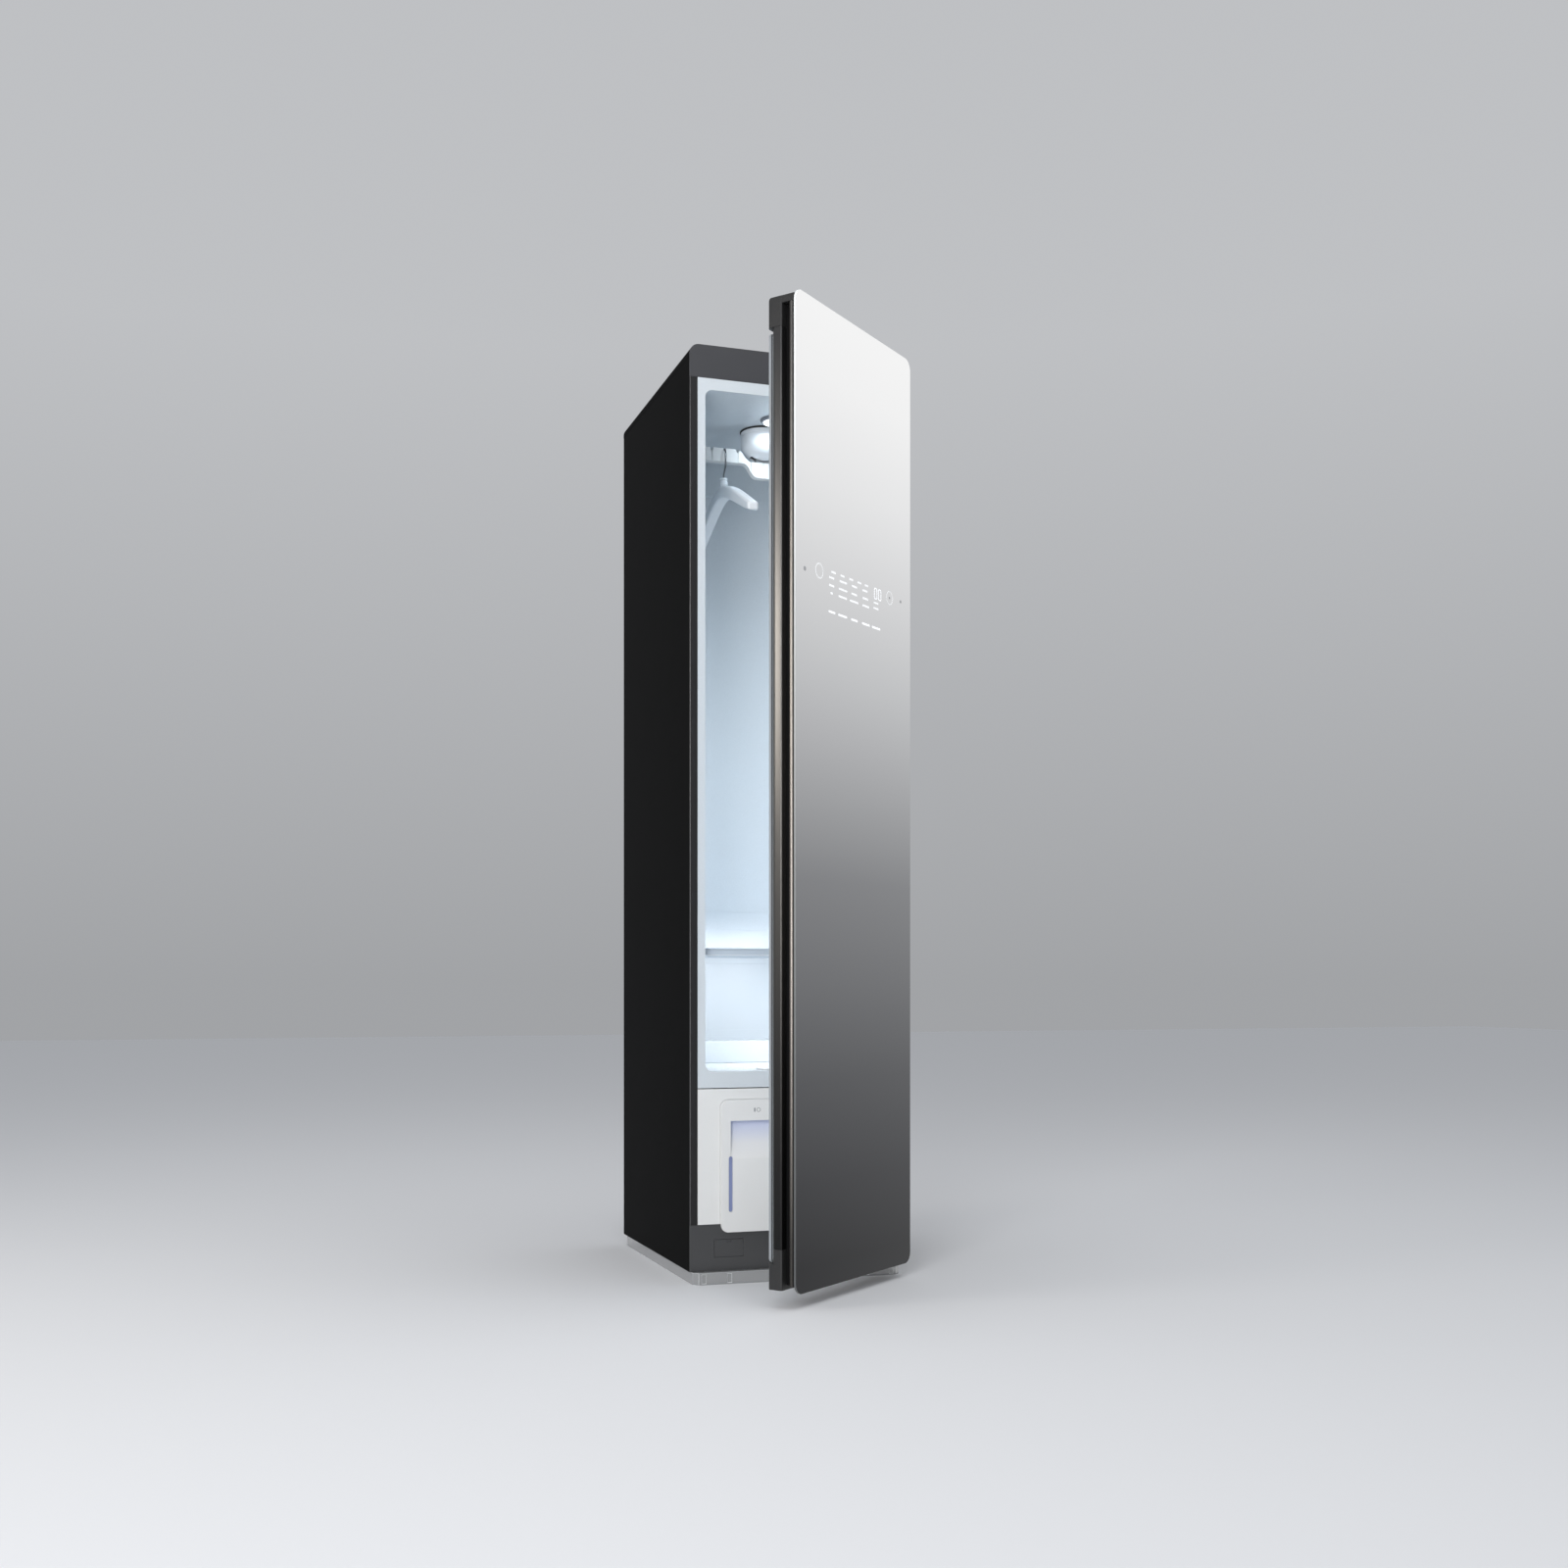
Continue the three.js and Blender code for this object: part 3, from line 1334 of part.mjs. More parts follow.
function hingeBracket(arm, legBottom, legTop, pinBottom, pinTop) {
  const half = hinge.armWidth / 2;
  const outline = roundedOutline(pinX - half, pinX + half, pinY - half, legBack, [half, half, 0, 0]);
  const legHalf = Math.min(hinge.legWidth / 2, innerHalf - fitGap - pinX);
  return join(
    prismZ(outline, arm.z0, arm.z1, 6),
    block(pinX - hinge.legWidth / 2, pinX + legHalf, legFront, legBack, legBottom, legTop),
    cylinderZ(pinX, pinY, pinBottom, pinTop, hinge.pinRadius, 16),
  );
}

function buildHinges() {
  const upper = hingeBracket(
    upperArm,
    upperArm.z1 - hingeLeg.upper,
    upperArm.z1,
    upperArm.z0 - hinge.pinLength,
    upperArm.z1,
  );
  addPiece(cabinet, "hinge_bracket_upper", geometryOf(upper), "steel");
  const lower = hingeBracket(
    lowerArm,
    lowerArm.z0,
    lowerArm.z0 + hingeLeg.lower,
    lowerArm.z0,
    lowerArm.z1 + hinge.pinLength,
  );
  addPiece(cabinet, "hinge_bracket_lower", geometryOf(lower), "steel");
}

// Door, drawn closed
function layer(start, thickness) {
  return [doorFront + start, doorFront + start + thickness];
}

// What would strike the cabinet front as the door turns about its pins
function swingRelief() {
  const bounds = block(pinX, halfWidth + overrun, pinY, front + overrun, 0, cabinetHeight + overrun);
  return cut(bounds, cylinderZ(pinX, pinY, -overrun, cabinetHeight + 2 * overrun, front - pinY - swingClearance, 48));
}

function buildGlass() {
  const outline = roundedOutline(-halfWidth, halfWidth, glass.bottom, cabinetHeight, glass.corner);
  addPiece(door, "door_glass", geometryOf(prismY(outline, ...layer(0, glass.thickness), 6)), "mirror");
}

function buildDisplayPanel() {
  const half = halfWidth - display.inset;
  const panel = block(-half, half, ...layer(displayStart, display.thickness), layerBottom, layerTop);
  addPiece(door, "display_panel", geometryOf(panel), "black");
}

function buildStrip() {
  const half = halfWidth - strip.inset;
  const [y0, y1] = layer(stripStart, strip.thickness);
  const w = strip.width;
  const ring = cut(
    block(-half, half, y0, y1, layerBottom, layerTop),
    block(-half + w, half - w, y0 - overrun, y1 + overrun, layerBottom + w, layerTop - w),
  );
  addPiece(door, "door_strip", geometryOf(ring), "champagne");
}

function buildCore() {
  const [y0, y1] = layer(coreStart, core.thickness);
  const bore = hinge.pinRadius + boreGap;
  const ring = strip.width + strip.inset + fitGap;
  const slab = block(-halfWidth + core.groove, halfWidth - core.inset, y0, y1, layerBottom, layerTop);
  const filling = block(
    -halfWidth + ring,
    halfWidth - ring,
    doorFront + stripStart,
    y0 + overrun,
    layerBottom + strip.width + fitGap,
    layerTop - strip.width - fitGap,
  );
  const halfLiner = halfWidth - doorLiner.side - fitGap;
  const skinFront = doorBack - doorLiner.skin - fitGap;
  const backing = block(-halfLiner, halfLiner, y1 - overrun, skinFront, doorLiner.bottom, doorLinerTop);
  const raised = prismY(
    plateauOutline(doorLiner.skin + fitGap),
    skinFront - overrun,
    skinFront + doorLiner.plateauRise,
  );
  const body = cut(
    join(slab, filling, backing, raised),
    cylinderZ(pinX, pinY, layerTop - hinge.pinLength, layerTop + overrun, bore, 16),
    cylinderZ(pinX, pinY, layerBottom - overrun, layerBottom + hinge.pinLength, bore, 16),
  );
  addPiece(door, "door_core", geometryOf(body), "black");
}

function edgeOutline(y0, y1) {
  const b = frame.bulge;
  const f = frame.frontBulge;
  return roundedOutline(-halfWidth, halfWidth, y0, y1, [f, f, b, b]);
}

function buildFrame() {
  const [y0, y1] = layer(frameStart, doorThickness - frameStart);
  const half = halfWidth - doorLiner.side;
  const body = cut(
    prismZ(edgeOutline(y0, y1), frame.bottom + fitGap, frameTop - fitGap, 5),
    block(-half, half, y0 - overrun, y1 + overrun, doorLiner.bottom - fitGap, doorLinerTop + fitGap),
    swingRelief(),
  );
  addPiece(door, "door_frame", geometryOf(body), "satin");
}

function buildCaps() {
  const [y0, y1] = layer(frameStart, doorThickness - frameStart);
  const yReach = y1 + cap.reach;
  const c = cap.corner;
  const zoneX = halfWidth - hingeZone;
  const upper = cut(
    prismZ(roundedOutline(-halfWidth, halfWidth, y0, yReach, [frame.frontBulge, 0, c, c]), frameTop, capTop),
    block(zoneX, halfWidth + overrun, y0 - overrun, yReach + overrun, capHingeTop, capTop + overrun),
    swingRelief(),
  );
  addPiece(door, "door_cap_top", geometryOf(upper), "satin");
  const lower = cut(
    join(
      prismZ(edgeOutline(y0, y1), cap.bottom, frame.bottom),
      prismZ(
        roundedOutline(-halfWidth, halfWidth, y0 + frame.bulge, yReach, [0, 0, c, c]),
        cap.bottom,
        cap.lowReachTop - fitGap,
      ),
    ),
    block(zoneX, halfWidth + overrun, y0 - overrun, yReach + overrun, 0, cap.hingeBottom),
    swingRelief(),
  );
  addPiece(door, "door_cap_bottom", geometryOf(lower), "satin");
}

// The raised middle of the door liner, drawn smaller by shrink
function plateauOutline(shrink) {
  const inset = doorLiner.plateauInset + shrink;
  const half = halfWidth - doorLiner.side - fitGap - inset;
  return roundedOutline(
    -half,
    half,
    lowerPanelTop - gasket.dividerInset + inset,
    doorLinerTop - inset,
    doorLiner.corner - shrink,
  );
}

function buildDoorLiner() {
  const half = halfWidth - doorLiner.side - fitGap;
  const skinFront = doorBack - doorLiner.skin;
  const body = cut(
    join(
      block(-half, half, skinFront, doorBack, doorLiner.bottom, doorLinerTop),
      prismY(plateauOutline(0), skinFront, doorBack + doorLiner.plateauRise),
    ),
    prismY(plateauOutline(doorLiner.skin), skinFront - overrun, skinFront + doorLiner.plateauRise),
  );
  addPiece(door, "door_liner", geometryOf(body), "liner");
}

function buildGasket() {
  const half = halfWidth - gasket.side;
  const y0 = doorBack + fitGap;
  const y1 = front - fitGap;
  const w = gasket.width;
  const r = gasket.corner;
  const inner = half - w;
  const top = cabinetHeight - gasket.topInset;
  const divider = lowerPanelTop - gasket.dividerInset;
  const loops = cut(
    prismY(roundedOutline(-half, half, cap.lowReachTop, top, r), y0, y1),
    prismY(
      roundedOutline(-inner, inner, cap.lowReachTop + w, divider - w, r / 2),
      y0 - overrun,
      y1 + overrun,
    ),
    prismY(roundedOutline(-inner, inner, divider, top - w, r / 2), y0 - overrun, y1 + overrun),
    swingRelief(),
  );
  addPiece(door, "door_gasket", geometryOf(loops), "gasket");
}

// Assembly order: base, shell, cabin, drive, tanks, air path, machine room, hinges, door
buildPlinth();
buildFeet();
buildBasePan();
buildSidePanel(-1);
buildSidePanel(1);
buildBackPanel();
buildTopCover();
buildFrontTrim();
buildKickPlate();
buildLowerFrontPanel();
buildLiner();
buildInsulation();
buildShelf();
buildOutletCover();
buildLamp();
buildDome();
buildDriveMotor();
buildRail();
buildCrank();
buildCarriage();
buildBar();
buildHanger();
buildBay();
buildTank(-1, "supply");
buildTank(1, "waste");
buildFilter();
buildDuct();
buildExchanger("evaporator", boxFront + duct.wall + exchanger.between, "alloy");
buildExchanger("condenser", boxFront + duct.wall + 2 * exchanger.between + exchanger.depth, "alloy");
buildBlower();
buildMachineShelf();
buildCompressor();
buildSteamGenerator();
buildPump("supply_pump", pumpSideRoom.supply - halfWidth);
buildPump("waste_pump", halfWidth - pumpSideRoom.waste);
buildControlBox();
buildPipe();
buildHinges();
buildGlass();
buildDisplayPanel();
buildStrip();
buildCore();
buildFrame();
buildCaps();
buildDoorLiner();
buildGasket();

export default cabinet;
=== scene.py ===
"""Looks of a clothes care steam cabinet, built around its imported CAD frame.

Shapes are drawn in millimetres in the row frame and become metres when they are finished. The door is drawn closed
and then turned about its pins to the angle at which the frame holds it.
"""

import json
import logging
import math
from collections.abc import Callable, Sequence
from dataclasses import dataclass
from enum import Enum
from typing import Any

import bmesh
import bpy
from mathutils import Matrix, Vector


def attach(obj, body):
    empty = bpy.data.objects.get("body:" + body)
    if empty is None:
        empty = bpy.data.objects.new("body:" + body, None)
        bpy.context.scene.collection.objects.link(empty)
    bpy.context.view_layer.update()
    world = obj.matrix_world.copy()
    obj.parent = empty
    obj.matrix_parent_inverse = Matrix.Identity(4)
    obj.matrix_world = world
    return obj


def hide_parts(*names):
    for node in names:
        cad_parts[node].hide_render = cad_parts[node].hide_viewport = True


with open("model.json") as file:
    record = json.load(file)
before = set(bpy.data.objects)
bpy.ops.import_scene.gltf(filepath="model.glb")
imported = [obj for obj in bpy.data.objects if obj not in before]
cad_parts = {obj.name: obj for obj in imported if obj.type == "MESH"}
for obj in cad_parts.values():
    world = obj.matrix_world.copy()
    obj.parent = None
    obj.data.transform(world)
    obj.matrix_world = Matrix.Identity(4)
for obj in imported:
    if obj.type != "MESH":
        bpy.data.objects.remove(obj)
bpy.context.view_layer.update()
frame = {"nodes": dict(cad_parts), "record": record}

logging.basicConfig(level=logging.INFO, format="%(levelname)s %(message)s")
log = logging.getLogger("cabinet")

Point = tuple[float, float]
Place = tuple[float, float, float]
Colour = tuple[float, float, float]

MILLIMETRE = 0.001
WELD_DISTANCE = 1e-4
FLAT_DEGREES = 0.08
SHARP_DEGREES = 32.0
TURN_SEED = 7
BROAD_SHARE = 0.012
BUMP_STRENGTH = 0.35


class Axis(Enum):
    """Direction along which an outline is drawn out."""

    X = "x"
    Y = "y"
    Z = "z"

    def place(self, u: float, v: float, along: float) -> Vector:
        """Returns the point at outline coordinates u and v, and at the distance along the axis."""
        return Vector({Axis.X: (along, u, v), Axis.Y: (u, along, v), Axis.Z: (u, v, along)}[self])


class Grain(Enum):
    """Kind of procedural surface detail."""

    FINE = "fine"
    SPANGLE = "spangle"
    CELLS = "cells"


# Sizes


@dataclass(frozen=True)
class CabinetSize:
    """Overall sizes and shared heights of the cabinet, in millimetres."""

    half: float = 222.5
    height: float = 1850.0
    front: float = -268.0
    back: float = 268.0
    foot: float = 24.3
    kick_top: float = 116.0
    panel_top: float = 385.0
    trim_bottom: float = 1785.0
    side_top: float = 1824.7
    plate: float = 3.0
    corner: float = 19.0
    gap: float = 0.3
    pin_x: float = 192.5
    pin_y: float = -309.0
    pin_slot: Point = (184.2, 200.8)
    slot_low: Point = (37.7, 42.3)
    slot_high: Point = (1828.7, 1833.3)
    swing: float = 40.0
    door_angle: float = 38.8


@dataclass(frozen=True)
class CabinSize:
    """Sizes of the cabin and what stands in it, in millimetres."""

    half: float = 190.5
    wall: float = 2.5
    floor: float = 418.0
    ceiling: float = 1762.0
    back: float = 187.0
    corner: float = 15.0
    flange: float = 206.2
    shelf_top: float = 662.0
    drive_y: float = -53.0
    lamp_y: float = -138.0
    bar_top: float = 1718.0
    notch_step: float = 28.5
    hook_x: float = -85.5


@dataclass(frozen=True)
class DoorSize:
    """Layers and heights of the door, drawn closed, in millimetres."""

    front: float = -332.0
    back: float = -280.0
    glass_bottom: float = 28.0
    glass: float = 4.0
    glass_corner: float = 22.0
    layer_bottom: float = 43.0
    layer_top: float = 1827.0
    strip_start: float = 7.0
    strip_end: float = 15.4
    strip_width: float = 14.0
    frame_start: float = 29.6
    frame_bottom: float = 108.3
    frame_top: float = 1785.7
    cap_reach: float = 8.7
    cap_low: float = 1786.0
    cap_top: float = 1841.0
    liner_bottom: float = 122.0
    liner_top: float = 1764.0
    liner_half: float = 196.2


@dataclass(frozen=True)
class TankSize:
    """Sizes that both water tank fronts share, in millimetres."""

    bottom: float = 100.0
    top: float = 361.0
    front: float = -274.0
    back: float = -268.3
    width: float = 154.0
    corner: float = 14.0
    pocket_back: float = -259.0
    pocket_bottom: float = 121.5
    grip_side: float = 19.0
    grip_top: float = 320.0
    grip_bottom: float = 245.0
    grip_depth: float = 13.0
    slit_side: float = 15.0
    slit_width: float = 8.5
    mark_z: float = 341.0


@dataclass(frozen=True)
class CameraView:
    """The camera of the photo: sensor and lens in millimetres, place in metres, turn in degrees."""

    sensor: float = 36.0
    lens: float = 38.86
    shift: Point = (0.031, 0.126)
    place: Place = (-1.1522, -3.4606, 0.5954)
    turn: float = -17.78


BODY, CABIN, DOOR, TANK, VIEW = CabinetSize(), CabinSize(), DoorSize(), TankSize(), CameraView()


# Outlines


def rounded(x0: float, x1: float, y0: float, y1: float, radii: float | Sequence[float],
            steps: int = 8) -> list[Point]:
    """Outline of a rectangle with rounded corners.

    Args:
        x0, x1: its sides.
        y0, y1: its lower and upper edge.
        radii: one radius, or those of the lower left, lower right, upper right and upper left corner.
        steps: segments of each corner.

    Returns:
        The points, anticlockwise.
    """
    low_left, low_right, high_right, high_left = [radii] * 4 if isinstance(radii, (int, float)) else radii
    corners = (
        (x1 - low_right, y0 + low_right, low_right, -90),
        (x1 - high_right, y1 - high_right, high_right, 0),
        (x0 + high_left, y1 - high_left, high_left, 90),
        (x0 + low_left, y0 + low_left, low_left, 180),
    )
    points: list[Point] = []
    for cx, cy, radius, start in corners:
        for step in range(steps + 1 if radius else 1):
            angle = math.radians(start + 90 * step / steps)
            points.append((cx + radius * math.cos(angle), cy + radius * math.sin(angle)))
    return points


def bezier(start: Point, lead: Point, trail: Point, end: Point, steps: int = 14) -> list[Point]:
    """Points of a cubic curve after its start, up to its end."""
    points: list[Point] = []
    for step in range(1, steps + 1):
        t = step / steps
        weights = ((1 - t) ** 3, 3 * t * (1 - t) ** 2, 3 * t * t * (1 - t), t**3)
        points.append(tuple(sum(w * p[i] for w, p in zip(weights, (start, lead, trail, end))) for i in (0, 1)))
    return points


def sway(start: Point, end: Point, steps: int = 14) -> list[Point]:
    """Points of an S-curve that leaves and arrives along the first coordinate, half way across it."""
    middle = (start[0] + end[0]) / 2
    return bezier(start, (middle, start[1]), (middle, end[1]), end, steps)


def mirrored(points: Sequence[Point]) -> list[Point]:
    """The points mirrored in their first coordinate and in reverse order."""
    return [(-u, v) for u, v in reversed(points)]


def through(low: float, high: float) -> Point:
    """Limits of a cutting tool that passes both faces by a millimetre."""
    return low - 1, high + 1


# Scene objects


def mesh_of(name: str, bm: bmesh.types.BMesh) -> bpy.types.Mesh:
    """Writes a bmesh to a new mesh and frees it."""
    mesh = bpy.data.meshes.new(name)
    bm.to_mesh(mesh)
    bm.free()
    return mesh


def add_object(name: str, data: bpy.types.ID) -> bpy.types.Object:
    """Makes an object of its data and links it to the scene."""
    made = bpy.data.objects.new(name, data)
    bpy.context.scene.collection.objects.link(made)
    return made


class Graph:
    """Adds nodes to a node tree."""

    def __init__(self, tree: bpy.types.NodeTree) -> None:
        self.tree = tree

    @classmethod
    def group(cls, name: str, kind: str, given: dict[str, str], result: dict[str, str]) -> "Graph":
        """Starts a node group.

        Args:
            name: its name.
            kind: its type.
            given: the type of each of its inputs.
            result: the type of each of its outputs.

        Returns:
            The graph of the new group.
        """
        tree = bpy.data.node_groups.new(name, kind)
        for side, sockets in (("INPUT", given), ("OUTPUT", result)):
            for socket, short in sockets.items():
                tree.interface.new_socket(socket, in_out=side, socket_type=f"NodeSocket{short}")
        return cls(tree)

    def add(self, kind: str, inputs: dict[str | int, Any] | None = None, **settings: Any) -> bpy.types.Node:
        """Adds a node.

        Args:
            kind: its type.
            inputs: what each of its inputs gets, as feed takes it.
            settings: its own properties, which are set first.

        Returns:
            The node.
        """
        node = self.tree.nodes.new(kind)
        for name, value in settings.items():
            setattr(node, name, value)
        self.feed(node, inputs or {})
        return node

    def feed(self, node: bpy.types.Node, inputs: dict[str | int, Any]) -> None:
        """Gives each named input a value, another node's socket, or the first socket of another node."""
        for name, value in inputs.items():
            if isinstance(value, bpy.types.Node):
                value = value.outputs[0]
            if isinstance(value, bpy.types.NodeSocket):
                self.tree.links.new(value, node.inputs[name])
            else:
                node.inputs[name].default_value = value


def repeat_tree() -> bpy.types.NodeTree:
    """The shared Geometry Nodes tree that repeats its input over a grid, made at its first use."""
    name = "grid_repeat"
    if name in bpy.data.node_groups:
        return bpy.data.node_groups[name]
    graph = Graph.group(name, "GeometryNodeTree", {
        "Geometry": "Geometry", "Columns": "Int", "Rows": "Int", "Start": "Vector", "Column Step": "Vector",
        "Row Step": "Vector", "Turn": "Vector", "Seed": "Int", "Material": "Material",
    }, {"Geometry": "Geometry"})
    line, copy, realize = "GeometryNodeMeshLine", "GeometryNodeInstanceOnPoints", "GeometryNodeRealizeInstances"
    given = graph.add("NodeGroupInput").outputs
    across = graph.add(line, {
        "Count": given["Columns"], "Start Location": given["Start"], "Offset": given["Column Step"]})
    up = graph.add(line, {"Count": given["Rows"], "Offset": given["Row Step"]})
    grid = graph.add(realize, {"Geometry": graph.add(copy, {"Points": across, "Instance": up})})
    back = graph.add("ShaderNodeVectorMath", {0: given["Turn"], "Scale": -1.0}, operation="SCALE")
    chance = graph.add("FunctionNodeRandomValue", {"Min": back, "Max": given["Turn"], "Seed": given["Seed"]},
                       data_type="FLOAT_VECTOR")
    copies = graph.add(copy, {"Points": grid, "Instance": given["Geometry"], "Rotation": chance})
    paint = graph.add("GeometryNodeSetMaterial", {
        "Geometry": graph.add(realize, {"Geometry": copies}), "Material": given["Material"]})
    graph.add("NodeGroupOutput", {"Geometry": paint})
    return graph.tree


# Shapes


class Shape:
    """A closed solid in millimetres, held by a scratch object until it becomes a piece."""

    def __init__(self, bm: bmesh.types.BMesh) -> None:
        bmesh.ops.remove_doubles(bm, verts=bm.verts, dist=WELD_DISTANCE)
        bmesh.ops.recalc_face_normals(bm, faces=bm.faces)
        self.object = add_object("scratch", mesh_of("scratch", bm))

    def _apply(self) -> "Shape":
        """Replaces the mesh by what its modifiers make of it."""
        graph = bpy.context.evaluated_depsgraph_get()
        mesh = bpy.data.meshes.new_from_object(self.object.evaluated_get(graph))
        self.object.modifiers.clear()
        self.object.data = mesh
        return self

    def _combine(self, operation: str, others: Sequence["Shape"]) -> "Shape":
        """Runs an exact boolean with each of the other shapes and removes them."""
        for other in others:
            modifier = self.object.modifiers.new("combine", "BOOLEAN")
            modifier.operation, modifier.solver, modifier.object = operation, "EXACT", other.object
            self._apply()
            other.drop()
        return self

    def cut(self, *tools: "Shape") -> "Shape":
        """Takes the tools away from this shape."""
        return self._combine("DIFFERENCE", tools)

    def join(self, *others: "Shape") -> "Shape":
        """Adds the other shapes to this one."""
        return self._combine("UNION", others)

    def meet(self, *others: "Shape") -> "Shape":
        """Keeps only what this shape shares with the others."""
        return self._combine("INTERSECT", others)

    def drop(self) -> None:
        """Removes the scratch object."""
        bpy.data.objects.remove(self.object, do_unlink=True)

    def bevel(self, width: float, segments: int = 2, angle: float = 35.0) -> "Shape":
        """Rounds every edge sharper than the angle, in degrees."""
        bm = bmesh.new()
        bm.from_mesh(self.object.data)
        bmesh.ops.remove_doubles(bm, verts=bm.verts, dist=10 * WELD_DISTANCE)
        bmesh.ops.dissolve_limit(bm, angle_limit=math.radians(FLAT_DEGREES), verts=bm.verts, edges=bm.edges)
        bm.to_mesh(self.object.data)
        bm.free()
        self.object.data.shade_smooth()
        modifier = self.object.modifiers.new("edges", "BEVEL")
        modifier.width, modifier.segments = width, segments
        modifier.limit_method, modifier.angle_limit = "ANGLE", math.radians(angle)
        modifier.harden_normals = True
        return self._apply()

    def repeat(self, finish: "Finish", start: Place, columns: int, across: float, rows: int = 1, up: float = 0.0,
               turn: float = 0.0) -> "Shape":
        """Repeats this shape over an upright grid of places with the shared Geometry Nodes tree.

        Args:
            finish: the material that the copies get.
            start: where the first copy's own origin goes.
            columns: how many copies there are from left to right.
            across: from one column to the next.
            rows: how many copies there are from the bottom to the top.
            up: from one row to the next.
            turn: the largest random turn about the depth axis, in radians.

        Returns:
            This shape.
        """
        tree = repeat_tree()
        modifier = self.object.modifiers.new("repeat", "NODES")
        modifier.node_group = tree
        values = {
            "Columns": columns, "Rows": rows, "Start": start, "Column Step": (across, 0.0, 0.0),
            "Row Step": (0.0, 0.0, up), "Turn": (0.0, turn, 0.0), "Seed": TURN_SEED,
            "Material": MaterialShop.get(finish),
        }
        for socket in tree.interface.items_tree:
            if socket.item_type == "SOCKET" and socket.in_out == "INPUT" and socket.name in values:
                modifier[socket.identifier] = values[socket.name]
        self.object.update_tag()
        return self._apply()

    def bare(self) -> "Shape":
        """Takes every material off and puts all faces on the first index."""
        self.object.data.materials.clear()
        return self

    def paint(self, index: int, chosen: Callable[[Vector, Vector], bool]) -> "Shape":
        """Gives the faces that chosen(centre, normal) picks the material at that index."""
        for face in self.object.data.polygons:
            if chosen(face.center, face.normal):
                face.material_index = index
        return self


def wall(bm: bmesh.types.BMesh, one: Sequence[bmesh.types.BMVert], two: Sequence[bmesh.types.BMVert]) -> None:
    """Adds the faces between two rings, either of which may be a single point."""
    steps = max(len(one), len(two))
    for k in range(steps):
        n = (k + 1) % steps
        corners = (one[k % len(one)], one[n % len(one)], two[n % len(two)], two[k % len(two)])
        face = list(dict.fromkeys(corners))
        if len(face) > 2:
            bm.faces.new(face)


def prism(outline: Sequence[Point], axis: Axis, low: float, high: float) -> Shape:
    """Draws an outline out along an axis.

    Args:
        outline: its points, in the two coordinates across the axis.
        axis: the direction.
        low, high: where the prism starts and ends.

    Returns:
        The solid.
    """
    bm = bmesh.new()
    ends = [[bm.verts.new(axis.place(u, v, end)) for u, v in outline] for end in (low, high)]
    for end in ends:
        bm.faces.new(end)
    wall(bm, *ends)
    return Shape(bm)


def block(x: Point, y: Point, z: Point) -> Shape:
    """A plain block between three pairs of limits, used as a tool or a core."""
    return prism([(x[0], y[0]), (x[1], y[0]), (x[1], y[1]), (x[0], y[1])], Axis.Z, *z)


def full_turn(steps: int) -> list[float]:
    """The angles of the steps of a full turn."""
    return [2 * math.pi * k / steps for k in range(steps)]


def lathe(profile: Sequence[Point], centre: Place, axis: Axis = Axis.Z, steps: int = 48) -> Shape:
    """Turns a profile of radius and height about an axis.

    Args:
        profile: radius and height of each point; a closed loop unless both ends lie on the axis.
        centre: a point on the axis, which the heights count from.
        axis: the direction of the axis.
        steps: segments of the turn.

    Returns:
        The solid.
    """
    bm, at = bmesh.new(), Vector(centre)
    rings = []
    for radius, height in profile:
        rings.append([bm.verts.new(at + axis.place(radius * math.cos(a), radius * math.sin(a), height))
                      for a in full_turn(steps if radius else 1)])
    if len(rings[0]) > 1 and len(rings[-1]) > 1:
        rings.append(rings[0])
    for one, two in zip(rings, rings[1:]):
        wall(bm, one, two)
    return Shape(bm)


def rod(radius: float, heights: Point, centre: Place, axis: Axis = Axis.Z, steps: int = 48) -> Shape:
    """A round bar between two heights on an axis through the centre."""
    low, high = heights
    return lathe([(0, low), (radius, low), (radius, high), (0, high)], centre, axis, steps)


def tube(path: Sequence[Place], radius: float, sides: int) -> Shape:
    """Sweeps a circle along a path of points.

    Args:
        path: the points.
        radius: the circle's radius.
        sides: its segments.

    Returns:
        The solid.
    """
    bm, points, side = bmesh.new(), [Vector(p) for p in path], Vector((1, 0, 0))
    rings = []
    for i, point in enumerate(points):
        ahead = (points[min(i + 1, len(points) - 1)] - points[max(i - 1, 0)]).normalized()
        side = (side - ahead * side.dot(ahead)).normalized()
        across = ahead.cross(side)
        rings.append([bm.verts.new(point + radius * (math.cos(a) * side + math.sin(a) * across))
                      for a in full_turn(sides)])
    for one, two in zip(rings, rings[1:]):
        wall(bm, one, two)
    bm.faces.new(rings[0])
    bm.faces.new(rings[-1])
    return Shape(bm)


# Finishes


@dataclass(frozen=True)
class Finish:
    """Looks of one material.

    Attributes:
        name: the material's name.
        colour: its linear base colour.
        shade: how far the second colour of the variation is from the first, as a share.
        rough: lowest and highest roughness.
        metallic, coat, specular, transmission: the shader's own values of these.
        emission: how strongly it glows in its base colour.
        grain: the kind of surface detail.
        scale: size of the detail, in cells per metre.
        bump: height of the detail, in millimetres.
        stretch: how the detail is scaled along the height.
        tint_and_painted_light: colours that follow the height above the floor, as red, green, blue and metres; on the
            mirror, its edge, the door's edge body and its metal strip they are painted reflections and highlights, on
            the tank grip a colour that turns bluer towards its top.
    """

    name: str
    colour: Colour
    shade: float = 0.06
    rough: Point = (0.35, 0.5)
    metallic: float = 0.0
    coat: float = 0.0
    specular: float = 0.5
    transmission: float = 0.0
    emission: float = 0.0
    grain: Grain = Grain.FINE
    scale: float = 900.0
    bump: float = 0.02
    stretch: float = 1.0
    tint_and_painted_light: tuple[tuple[float, float, float, float], ...] = ()


